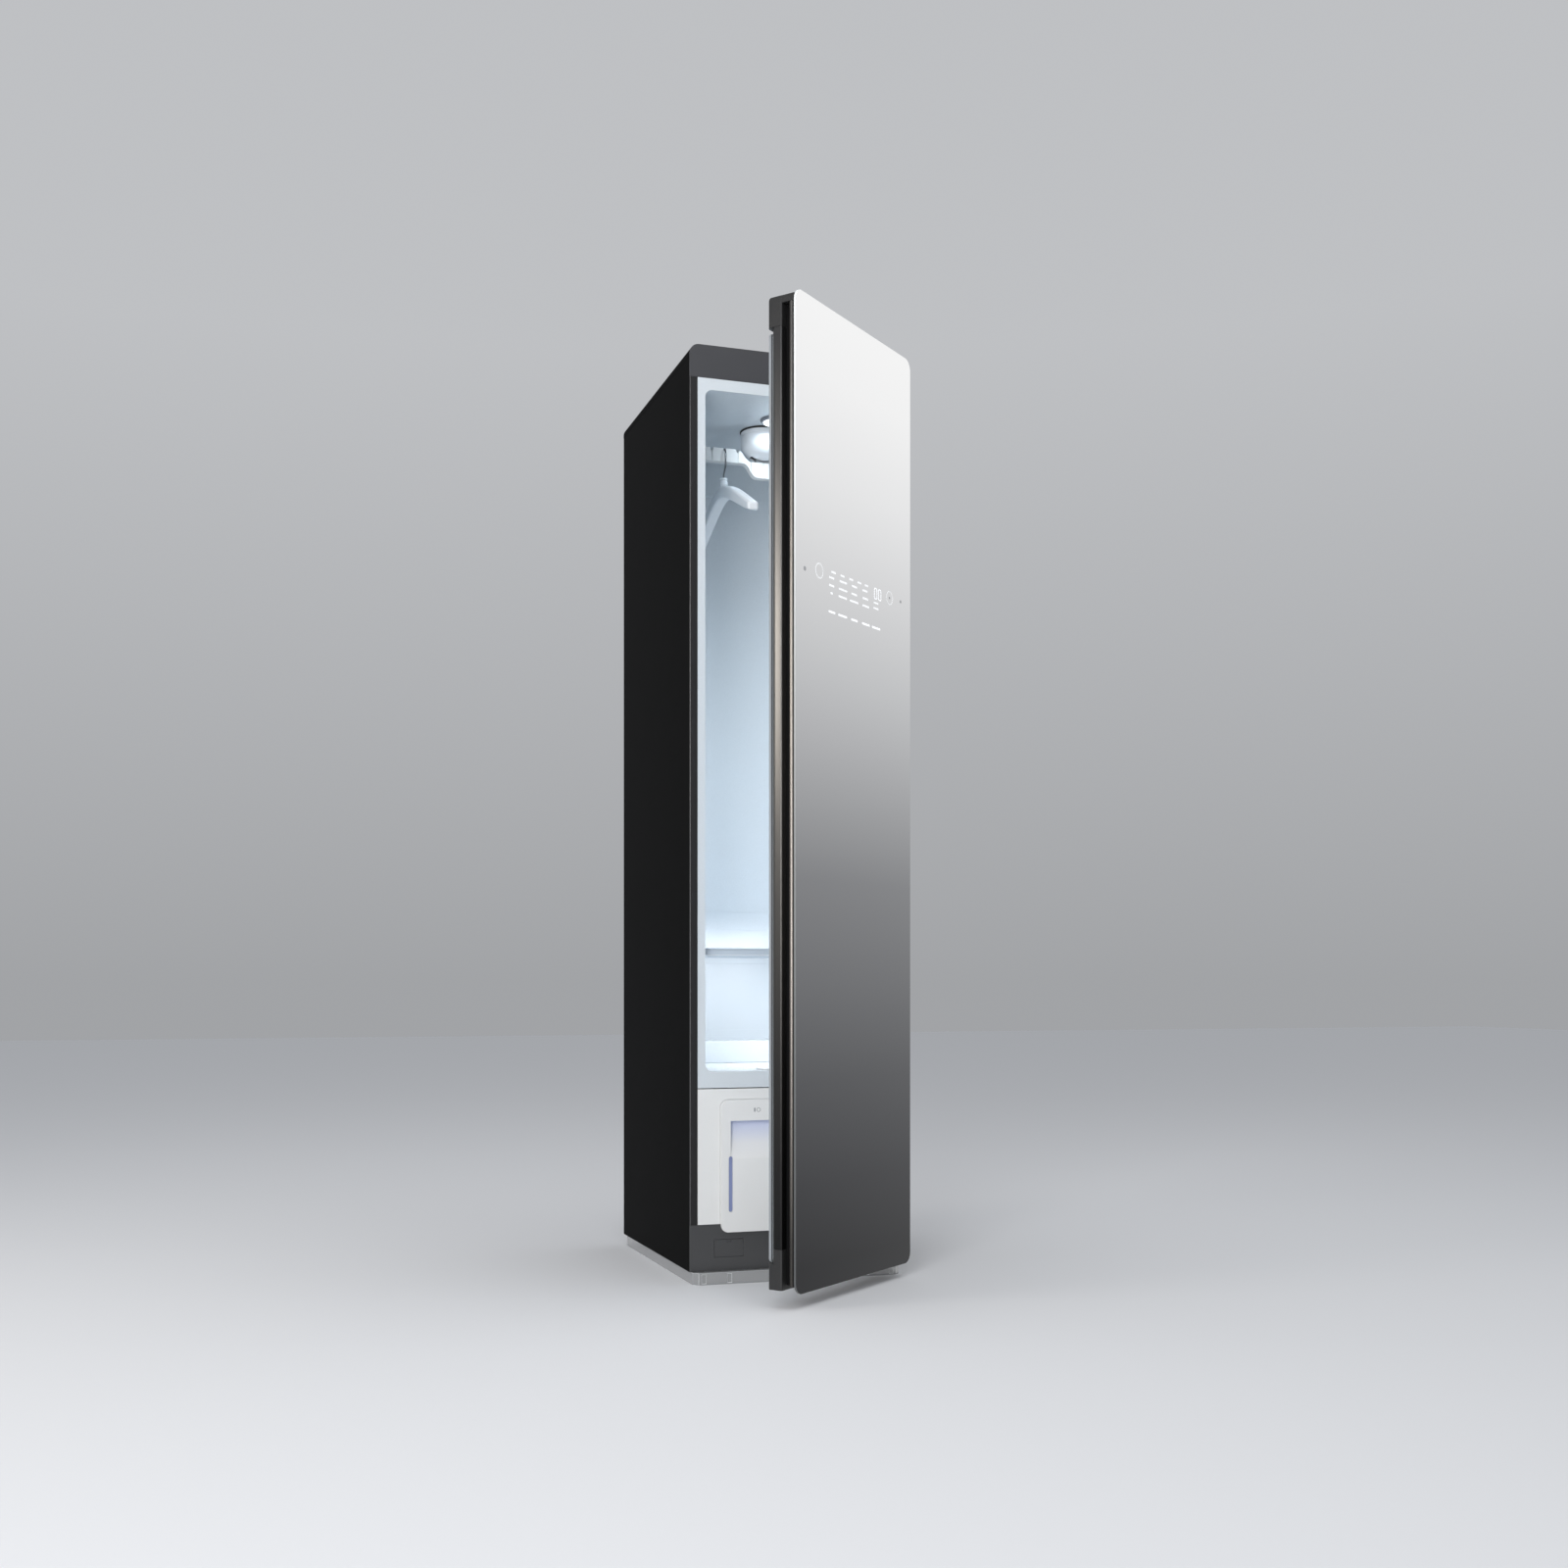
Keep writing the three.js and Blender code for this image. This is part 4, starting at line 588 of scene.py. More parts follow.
BLACK_STEEL = Finish("black_powder_steel", (0.0035, 0.0035, 0.0036), 0.35, (0.66, 0.78), specular=0.04, scale=1400)
# Painted light: lighter copies of the black steel, on the front fold as a painted highlight and on the front face of
# the flange.
BLACK_FOLD_PAINTED_HIGHLIGHT = Finish("black_steel_fold_painted_highlight", (0.05, 0.05, 0.053), 0.15, (0.3, 0.4), specular=0.6, scale=1400)
BLACK_FACE_PAINTED_LIGHT = Finish("black_steel_face_painted_light", (0.017, 0.017, 0.018), 0.25, (0.5, 0.6), specular=0.25, scale=1400)
DARK_TRIM = Finish("dark_trim_plastic", (0.046, 0.047, 0.053), 0.1, (0.42, 0.52), scale=1600)
DARK_KICK = Finish("dark_kick_steel", (0.05, 0.051, 0.054), 0.12, (0.48, 0.6), scale=1500)
WHITE_PLASTIC = Finish("white_moulded_plastic", (0.78, 0.785, 0.78), 0.03, (0.3, 0.42), scale=1500, bump=0.012)
LINER = Finish("pale_liner_plastic", (0.645, 0.695, 0.735), 0.03, (0.22, 0.32), scale=1100, bump=0.015)
FOAM = Finish("insulating_foam", (0.66, 0.65, 0.58), 0.2, (0.85, 0.95), grain=Grain.CELLS, scale=260, bump=0.5)
SHELF = Finish("shelf_plastic", (0.45, 0.51, 0.575), 0.07, (0.3, 0.42), scale=1200, bump=0.015)
# Painted light: a lighter copy of the shelf plastic for its underside and the bottom lip of its front.
SHELF_LIP_PAINTED_LIGHT = Finish("shelf_lip_painted_light", (0.84, 0.88, 0.91), 0.04, (0.3, 0.4), scale=1200, bump=0.01)
LAMP = Finish("lamp_lens", (0.86, 0.9, 0.94), 0.03, (0.25, 0.35), emission=1.6, scale=500, bump=0.03)
GLOSS_WHITE = Finish("gloss_white_plastic", (0.77, 0.8, 0.83), 0.03, (0.36, 0.46), scale=700, bump=0.008)
RUBBER = Finish("black_rubber", (0.012, 0.012, 0.012), 0.3, (0.7, 0.85), scale=1200, bump=0.05)
GASKET = Finish("gasket_rubber", (0.3, 0.325, 0.345), 0.08, (0.5, 0.65), scale=1000, bump=0.03)
# Painted shade: a darker copy of the gasket rubber for the sides of its narrow neck.
GASKET_FOLD_PAINTED_SHADE = Finish("gasket_fold_painted_shade", (0.06, 0.065, 0.07), 0.1, (0.6, 0.75), scale=1000, bump=0.03)
ZINC = Finish("zinc_coated_steel", (0.36, 0.38, 0.4), 0.25, (0.32, 0.5), 0.85, grain=Grain.SPANGLE, scale=95,
              bump=0.01)
BRIGHT = Finish("bright_steel", (0.5, 0.51, 0.53), 0.12, (0.2, 0.32), 0.95, scale=500, bump=0.01, stretch=0.08)
MOTOR = Finish("motor_steel", (0.2, 0.21, 0.22), 0.15, (0.38, 0.5), 0.8, scale=800)
FINS = Finish("fin_aluminium", (0.55, 0.56, 0.58), 0.15, (0.28, 0.42), 0.9, scale=700, stretch=0.06)
WIRE = Finish("hook_wire", (0.2, 0.205, 0.215), 0.15, (0.2, 0.3), 0.95, scale=800, bump=0.005)
LAMP_RIM = Finish("lamp_rim_plastic", (0.2, 0.22, 0.25), 0.05, (0.25, 0.35), bump=0.01)
COPPER = Finish("copper_pipe", (0.5, 0.19, 0.09), 0.25, (0.24, 0.42), 0.95, scale=300, bump=0.01)
ENAMEL = Finish("compressor_enamel", (0.01, 0.01, 0.011), 0.3, (0.3, 0.42), coat=0.2, scale=500, bump=0.03)
GREY_PLASTIC = Finish("grey_moulded_plastic", (0.24, 0.26, 0.275), 0.08, (0.42, 0.55), scale=1200)
BLACK_PLASTIC = Finish("black_plastic", (0.006, 0.006, 0.0065), 0.3, (0.45, 0.6), specular=0.3, scale=1500)
FOAM_BLACK = Finish("black_core", (0.005, 0.005, 0.0055), 0.4, (0.55, 0.7), specular=0.12, scale=700, bump=0.05)
TUB = Finish("tub_plastic", (0.46, 0.58, 0.76), 0.06, (0.14, 0.24), transmission=0.35, scale=500)
CLEAR = Finish("clear_plinth_plastic", (0.42, 0.43, 0.44), 0.2, (0.1, 0.22), coat=0.4, transmission=0.3, scale=350,
               bump=0.04)
# Painted highlight: a whiter copy of the clear plastic for the plinth's bevels and corners.
CLEAR_RIM_PAINTED_HIGHLIGHT = Finish("clear_plinth_rim_painted_highlight", (0.9, 0.92, 0.94), 0.05, (0.2, 0.3), transmission=0.1, scale=350)
# Painted highlight: the edge body's colour is dark near the floor and the top, and lightest and warm between about
# 0.95 and 1.27 m.
SATIN_PAINTED_HIGHLIGHT = Finish("satin_dark_metal_painted_highlight", (0.1, 0.097, 0.093), 0.14, (0.27, 0.34), 0.85, scale=420, bump=0.004,
               stretch=0.03, tint_and_painted_light=(
    (0.019, 0.019, 0.019, 0.1), (0.027, 0.026, 0.026, 0.25), (0.049, 0.047, 0.045, 0.42), (0.1, 0.096, 0.09, 0.65),
    (0.142, 0.136, 0.128, 0.95), (0.14, 0.135, 0.128, 1.27), (0.1, 0.098, 0.096, 1.55), (0.068, 0.068, 0.069, 1.77)))
CAP = Finish("satin_cap_plastic", (0.026, 0.026, 0.0265), 0.12, (0.36, 0.46), 0.2, scale=1700, bump=0.01)
# Painted highlight: the strip's colour is dark near the floor and the top and lightest near 0.6 m.
CHAMPAGNE_PAINTED_HIGHLIGHT = Finish("champagne_metal", (0.24, 0.222, 0.2), 0.06, (0.3, 0.36), 0.92, scale=260, bump=0.001,
                   stretch=0.03, tint_and_painted_light=(
    (0.06, 0.056, 0.052, 0.12), (0.34, 0.31, 0.28, 0.6), (0.24, 0.222, 0.2, 1.25), (0.1, 0.096, 0.092, 1.77)))
# Painted reflection: the polished edge follows the mirror, dark near the floor and light at the top.
GLASS_EDGE_PAINTED_REFLECTION = Finish("polished_glass_edge_painted_reflection", (0.5, 0.54, 0.53), 0.08, (0.35, 0.45), scale=200, bump=0.01, tint_and_painted_light=(
    (0.09, 0.095, 0.098, 0.1), (0.13, 0.138, 0.14, 0.42), (0.24, 0.25, 0.25, 0.8), (0.42, 0.43, 0.43, 1.15),
    (0.72, 0.74, 0.74, 1.5), (0.86, 0.88, 0.88, 1.8)))
# Painted reflection: the mirror's colour runs from dark near the floor to light at the top, slightly bluer where it
# is dark.
MIRROR_PAINTED_REFLECTION = Finish("mirror_glass", (0.9, 0.9, 0.9), 0.0, (0.0, 0.035), 1.0, scale=5, bump=0.0, tint_and_painted_light=(
    (0.016, 0.0165, 0.0185, 0.075), (0.038, 0.039, 0.0432, 0.224), (0.078, 0.08, 0.086, 0.411),
    (0.202, 0.206, 0.216, 0.784), (0.5, 0.506, 0.518, 1.158), (0.775, 0.777, 0.783, 1.531),
    (0.871, 0.871, 0.873, 1.718), (0.896, 0.896, 0.897, 1.83)))
SCOOP = Finish("tank_grip_plastic", (0.7, 0.72, 0.8), 0.0, (0.33, 0.35), scale=1200, bump=0.01, tint_and_painted_light=(
    (0.79, 0.79, 0.785, 0.245), (0.78, 0.785, 0.8, 0.275), (0.66, 0.7, 0.84, 0.305), (0.58, 0.63, 0.82, 0.32)))
MARK = Finish("printed_mark", (0.3, 0.31, 0.33), 0.15, (0.35, 0.45), scale=2500, bump=0.003)
DOT_MARK = Finish("faint_dot", (0.36, 0.365, 0.375), 0.1, (0.35, 0.45), scale=2500, bump=0.003)
RING_MARK = Finish("faint_ring", (0.8, 0.81, 0.82), 0.05, (0.3, 0.4), emission=0.25, scale=2500, bump=0.003)
LIT_MARK = Finish("lit_mark", (0.9, 0.92, 0.95), 0.05, (0.35, 0.45), emission=0.45, scale=2500, bump=0.003)
FAINT_MARK = Finish("faint_lit_mark", (0.86, 0.87, 0.885), 0.05, (0.3, 0.4), emission=0.36, scale=2500, bump=0.003)
WINDOW = Finish("level_window_plastic", (0.34, 0.4, 0.68), 0.12, (0.12, 0.2), transmission=0.25, scale=600, bump=0.01)
STAGE = Finish("studio_floor", (0.72, 0.73, 0.75), 0.02, (0.75, 0.85), specular=0.0, scale=40, bump=0.0)

SLOT_FINISHES = {
    "clear_plastic": CLEAR, "rubber": RUBBER, "zinc_steel": ZINC, "black_steel": BLACK_STEEL, "dark_trim": DARK_TRIM,
    "white_plastic": WHITE_PLASTIC, "liner_plastic": LINER, "foam": FOAM, "shelf_grey": SHELF, "lamp_plastic": LAMP,
    "motor_steel": MOTOR, "bright_steel": BRIGHT, "grey_plastic": GREY_PLASTIC, "tub_plastic": TUB,
    "fin_aluminium": FINS, "compressor_black": ENAMEL, "copper": COPPER, "mirror_glass": MIRROR_PAINTED_REFLECTION,
    "black_plastic": BLACK_PLASTIC, "champagne_metal": CHAMPAGNE_PAINTED_HIGHLIGHT, "foam_black": FOAM_BLACK, "satin_metal": SATIN_PAINTED_HIGHLIGHT,
    "cap_plastic": CAP, "gasket_rubber": GASKET,
}


class MaterialShop:
    """Makes each finish once, as a node material."""

    made: dict[str, bpy.types.Material] = {}

    @classmethod
    def get(cls, finish: Finish) -> bpy.types.Material:
        """Returns the material of a finish."""
        if finish.name not in cls.made:
            cls.made[finish.name] = cls._build(finish)
        return cls.made[finish.name]

    @staticmethod
    def _detail_group() -> bpy.types.NodeTree:
        """The shared group that turns a position into a fine and a broad mask."""
        name = "surface_detail"
        if name in bpy.data.node_groups:
            return bpy.data.node_groups[name]
        masks = {"Fine": "Float", "Broad": "Float"}
        graph = Graph.group(name, "ShaderNodeTree", {"Vector": "Vector", "Scale": "Float"}, masks)
        given = graph.add("NodeGroupInput").outputs
        vector, scale = given["Vector"], given["Scale"]
        share = graph.add("ShaderNodeMath", {0: scale, 1: BROAD_SHARE}, operation="MULTIPLY")
        graph.add("NodeGroupOutput", {
            "Fine": graph.add("ShaderNodeTexNoise", {"Vector": vector, "Scale": scale, "Detail": 3.0}),
            "Broad": graph.add("ShaderNodeTexNoise", {"Vector": vector, "Scale": share, "Detail": 4.0}),
        })
        return graph.tree

    @classmethod
    def _masks(cls, graph: Graph, finish: Finish) -> tuple[bpy.types.NodeSocket, bpy.types.NodeSocket]:
        """Adds the detail nodes of a finish and returns its fine and broad mask."""
        place = graph.add("ShaderNodeTexCoord").outputs["Object"]
        mapping = graph.add("ShaderNodeMapping", {"Vector": place, "Scale": (1.0, 1.0, finish.stretch)})
        detail = {"Vector": mapping, "Scale": finish.scale}
        if finish.grain is Grain.FINE:
            masks = graph.add("ShaderNodeGroup", detail, node_tree=cls._detail_group())
            return masks.outputs["Fine"], masks.outputs["Broad"]
        cells = graph.add("ShaderNodeTexVoronoi", detail).outputs
        split = graph.add("ShaderNodeSeparateColor", {"Color": cells["Color"]}).outputs
        return cells["Distance"] if finish.grain is Grain.CELLS else split[0], split[1]

    @staticmethod
    def _graded(graph: Graph, finish: Finish) -> bpy.types.NodeSocket:
        """Adds colours that follow the height above the floor, which are painted reflections and highlights on all
        but the grip's finish, and returns the colour.
        """
        low, high = finish.tint_and_painted_light[0][3], finish.tint_and_painted_light[-1][3]
        place = graph.add("ShaderNodeSeparateXYZ", {0: graph.add("ShaderNodeTexCoord").outputs["Object"]})
        spread = graph.add("ShaderNodeMapRange", {"Value": place.outputs["Z"], "From Min": low, "From Max": high})
        ramp = graph.add("ShaderNodeValToRGB", {"Fac": spread})
        stops = ramp.color_ramp.elements
        while len(stops) < len(finish.tint_and_painted_light):
            stops.new(0.5)
        for stop, (*_, height) in zip(stops, finish.tint_and_painted_light):
            stop.position = (height - low) / (high - low)
        for stop, (*colour, _) in zip(stops, finish.tint_and_painted_light):
            stop.color = (*colour, 1.0)
        return ramp.outputs["Color"]

    @classmethod
    def _build(cls, finish: Finish) -> bpy.types.Material:
        """Builds the node tree of a finish."""
        material = bpy.data.materials.new(finish.name)
        material.use_nodes = True
        graph = Graph(material.node_tree)
        fine, broad = cls._masks(graph, finish)
        if finish.tint_and_painted_light:
            colour = cls._graded(graph, finish)
        else:
            second = (*(c * (1.0 - finish.shade) for c in finish.colour), 1.0)
            mix = {"Factor": broad, "A": (*finish.colour, 1.0), "B": second}
            colour = graph.add("ShaderNodeMix", mix, data_type="RGBA").outputs["Result"]
        low, high = finish.rough
        sheen = graph.add("ShaderNodeMapRange", {
            "Value": broad if finish.tint_and_painted_light else fine, "From Min": 0.3, "From Max": 0.7, "To Min": low, "To Max": high})
        looks = {
            "Base Color": colour, "Roughness": sheen, "Metallic": finish.metallic, "Coat Weight": finish.coat,
            "Specular IOR Level": finish.specular, "Transmission Weight": finish.transmission,
        }
        if finish.bump:
            looks["Normal"] = graph.add("ShaderNodeBump", {
                "Height": fine, "Strength": BUMP_STRENGTH, "Distance": finish.bump * MILLIMETRE})
        if finish.emission:
            looks |= {"Emission Color": (*finish.colour, 1.0), "Emission Strength": finish.emission}
        graph.feed(graph.tree.nodes["Principled BSDF"], looks)
        return material


# Pieces


class Assembly:
    """Base of the sub-assemblies: turns shapes into pieces that ride on a CAD body."""

    body = "cabinet"

    def place(self, mesh: bpy.types.Mesh) -> None:
        """Moves a mesh from where it is drawn to its place in the row frame."""
        mesh.transform(Matrix.Scale(MILLIMETRE, 4))

    def piece(self, name: str, shape: Shape, slot: str, finish: Finish | Sequence[Finish], *nodes: str,
              body: str | None = None) -> None:
        """Makes a piece of a shape.

        Args:
            name: the piece's name.
            shape: its solid.
            slot: the record's material slot; not used.
            finish: its finish, or one for each material index.
            nodes: the CAD nodes that it stands for.
            body: the CAD body that it rides on, where that isn't the assembly's own.
        """
        piece, mesh = shape.object, shape.object.data
        piece.name = mesh.name = name
        self.place(mesh)
        if "custom_normal" not in mesh.attributes:
            mesh.shade_smooth()
            mesh.set_sharp_from_angle(angle=math.radians(SHARP_DEGREES))
        if not mesh.materials or mesh.materials[0] is None:
            painted = [face.material_index for face in mesh.polygons]
            mesh.materials.clear()
            for one in [finish] if isinstance(finish, Finish) else finish:
                mesh.materials.append(MaterialShop.get(one))
            mesh.polygons.foreach_set("material_index", painted)
        if nodes:
            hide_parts(*nodes)
        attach(piece, body or self.body)
        log.info("%s: %d faces on %s", name, len(mesh.polygons), body or self.body)


class Casing(Assembly):
    """Outer shell: side panels, top cover, front trim, kick plate, plinth and the panel around the tanks."""

    def build(self) -> None:
        """Builds every piece of the shell."""
        self.plinth()
        for side, word in ((-1, "left"), (1, "right")):
            self.side_panel(side, word)
        for make in (self.top_cover, self.front_trim, self.kick_plate, self.lower_front_panel, self.back_details):
            make()

    def plinth(self) -> None:
        """Clear plinth with softened edges and two shallow grooves near each end of its front."""
        half, front, back, c = 219.0, -285.0, 258.0, 10.0
        outline = [(-half + c, front), (half - c, front), (half, front + c), (half, back - c), (half - c, back),
                   (-half + c, back), (-half, back - c), (-half, front + c)]
        shape = prism(outline, Axis.Z, 0, 24)
        for side in (-1, 1):
            for groove in (203.0, 150.0):
                x = tuple(sorted((side * groove, side * (groove - 9))))
                shape.cut(block(x, (front - 1, front + 1.2), (3, 21)))
        # The bevels and the corner faces get the whiter copy: a painted highlight.
        shape.bevel(1.2, 3).paint(1, lambda centre, normal: 0.06 < abs(normal.z) < 0.97 or 0.2 < abs(normal.x) < 0.6)
        self.piece("plinth_shell", shape, "clear_plastic", (CLEAR, CLEAR_RIM_PAINTED_HIGHLIGHT), "plinth")

    def side_panel(self, side: int, word: str) -> None:
        """Folded sheet with rounded folds, on the left or the right."""
        half, front, back, gap, sheet, fold = BODY.half, BODY.front, BODY.back, BODY.gap, 1.0, 2.2
        outer = rounded(half - 16, half, front, back, (0, fold, fold, 0), 5)
        inner = rounded(half - 40, half - sheet, front + sheet, back - sheet, (0, 0.7, 0.7, 0), 4)
        relief = (half - 30, half + 1), (front - 1, front + BODY.plate + gap)
        top = BODY.side_top + 1.3
        shape = prism(outer, Axis.Z, BODY.foot, BODY.side_top)
        shape.cut(prism(inner, Axis.Z, BODY.foot - 1, top),
                  block((half - 18, half - 14), (back - 3, back + 1), (20, 1830)),
                  block(*relief, (BODY.trim_bottom - gap, top)), block(*relief, (0, BODY.kick_top + gap)))
        if side < 0:
            shape.object.data.transform(Matrix.Scale(-1, 4, (1, 0, 0)))
            shape.object.data.flip_normals()
        # The front fold and the front face of the flange get the lighter copies of the black steel: painted light.
        shape.paint(1, lambda centre, normal: centre.y < front + fold and 0.05 < abs(normal.x) < 0.95)
        shape.paint(2, lambda centre, normal: centre.y < front + 0.1 and normal.y < -0.95)
        finishes = (BLACK_STEEL, BLACK_FOLD_PAINTED_HIGHLIGHT, BLACK_FACE_PAINTED_LIGHT)
        self.piece(f"side_sheet_{word}", shape, "black_steel", finishes, f"side_panel_{word}")

    def top_cover(self) -> None:
        """Arched sheet over the body."""
        half, low, high, r, back = BODY.half, BODY.side_top + BODY.gap, BODY.height, BODY.corner, BODY.back
        front = BODY.front + BODY.plate + BODY.gap
        shape = prism(rounded(-half, half, low, high, (0, 0, r, r), 16), Axis.Y, front, back)
        inner = rounded(-half + 1, half - 1, low - 1, high - 1, (0, 0, r - 1, r - 1), 16)
        shape.cut(prism(inner, Axis.Y, front - 1, back - 1))
        self.piece("top_sheet", shape.bevel(0.4, 2, 50), "black_steel", BLACK_STEEL, "top_cover")

    def front_trim(self) -> None:
        """Arched front plate over the cabin mouth, with its lip and the hinge slot."""
        half, r, front, low = BODY.half, BODY.corner, BODY.front, BODY.trim_bottom
        outline = rounded(-half, half, low, BODY.height, (0, 0, r, r), 16)
        shape = prism(outline, Axis.Y, front, front + BODY.plate)
        shape.join(block((-202, 148), (front + 1, front + 12), (low, low + 3)))
        shape.cut(block(BODY.pin_slot, (front - 2, front + 4), BODY.slot_high))
        self.piece("front_trim_plate", shape.bevel(0.5, 3), "dark_trim", DARK_TRIM, "front_trim")

    def kick_plate(self) -> None:
        """Lower front plate, its small clipped hatch and the hatch's finger notch."""
        half, front = BODY.half, BODY.front
        behind = through(front, front + BODY.plate)
        shape = block((-half, half), (front, front + BODY.plate), (BODY.foot, BODY.kick_top))
        shape.cut(block((-172, -112), behind, (51, 86)), block(BODY.pin_slot, behind, BODY.slot_low))
        self.piece("kick_plate_sheet", shape.bevel(0.8, 3), "dark_trim", DARK_KICK, "kick_plate")
        cover = prism(rounded(-171.6, -112.4, 51.4, 85.6, 1.2, 4), Axis.Y, front, front + 3.3)
        cover.join(block((-173, -111), (front + 3.3, front + 4.3), (50, 87)))
        cover.cut(prism(rounded(-148, -136, 80.5, 90, (2, 2, 0, 0), 5), Axis.Y, front - 1, front + 1.5))
        self.piece("kick_hatch_cover", cover.bevel(0.4, 2), "dark_trim", DARK_KICK, "kick_hatch")

    def lower_front_panel(self) -> None:
        """White panel with the opening for the two tanks and a shallow line round it."""
        front, wide = BODY.front, CABIN.flange
        shape = block((-wide, wide), (front, front + 3), (BODY.kick_top + BODY.gap, BODY.panel_top - 1.6))
        shape.cut(prism(rounded(-154.5, 146.5, 119, 352, 3, 5), Axis.Y, *through(front, front + 3)))
        line = prism(rounded(-160.6, 152.6, 98, 362.6, 15.5, 10), Axis.Y, front - 1, front + 1.4)
        shape.cut(line.cut(prism(rounded(-158, 150, 90, 360, 13, 10), Axis.Y, front - 2, front + 2)))
        self.piece("tank_surround", shape.bevel(0.7, 3), "white_plastic", WHITE_PLASTIC, "lower_front_panel")

    def back_details(self) -> None:
        """Screws round the back panel, pressed ribs and the pins of the mains inlet."""
        skin = 266.75
        head = lathe([(0, 1.1), (2.2, 1.0), (3.3, 0.5), (3.4, 0), (0, 0)], (0, 0, 0), Axis.Y, 24)
        head.cut(block((-2.4, 2.4), (0.6, 2), (-0.4, 0.4)), block((-0.4, 0.4), (0.6, 2), (-2.4, 2.4)))
        head.repeat(BRIGHT, (-214.5, skin, 60.0), 2, 429.0, 9, 216.0, 1.5)
        self.piece("back_screws", head, "bright_steel", BRIGHT)
        rib = prism(rounded(-150, 150, -3.5, 3.5, 3.4, 6), Axis.Y, 0, 0.9).bevel(0.4, 2)
        rib.repeat(ZINC, (0.0, skin, 480.0), 1, 0.0, 10, 130.0)
        self.piece("back_ribs", rib, "zinc_steel", ZINC)
        pin = prism(rounded(-1.0, 1.0, -3.2, 3.2, 0.6, 4), Axis.Y, 0, 12).bevel(0.3, 2)
        pin.repeat(BRIGHT, (-138.0, 242.6, 90.0), 3, 8.0)
        self.piece("inlet_pins", pin, "bright_steel", BRIGHT)


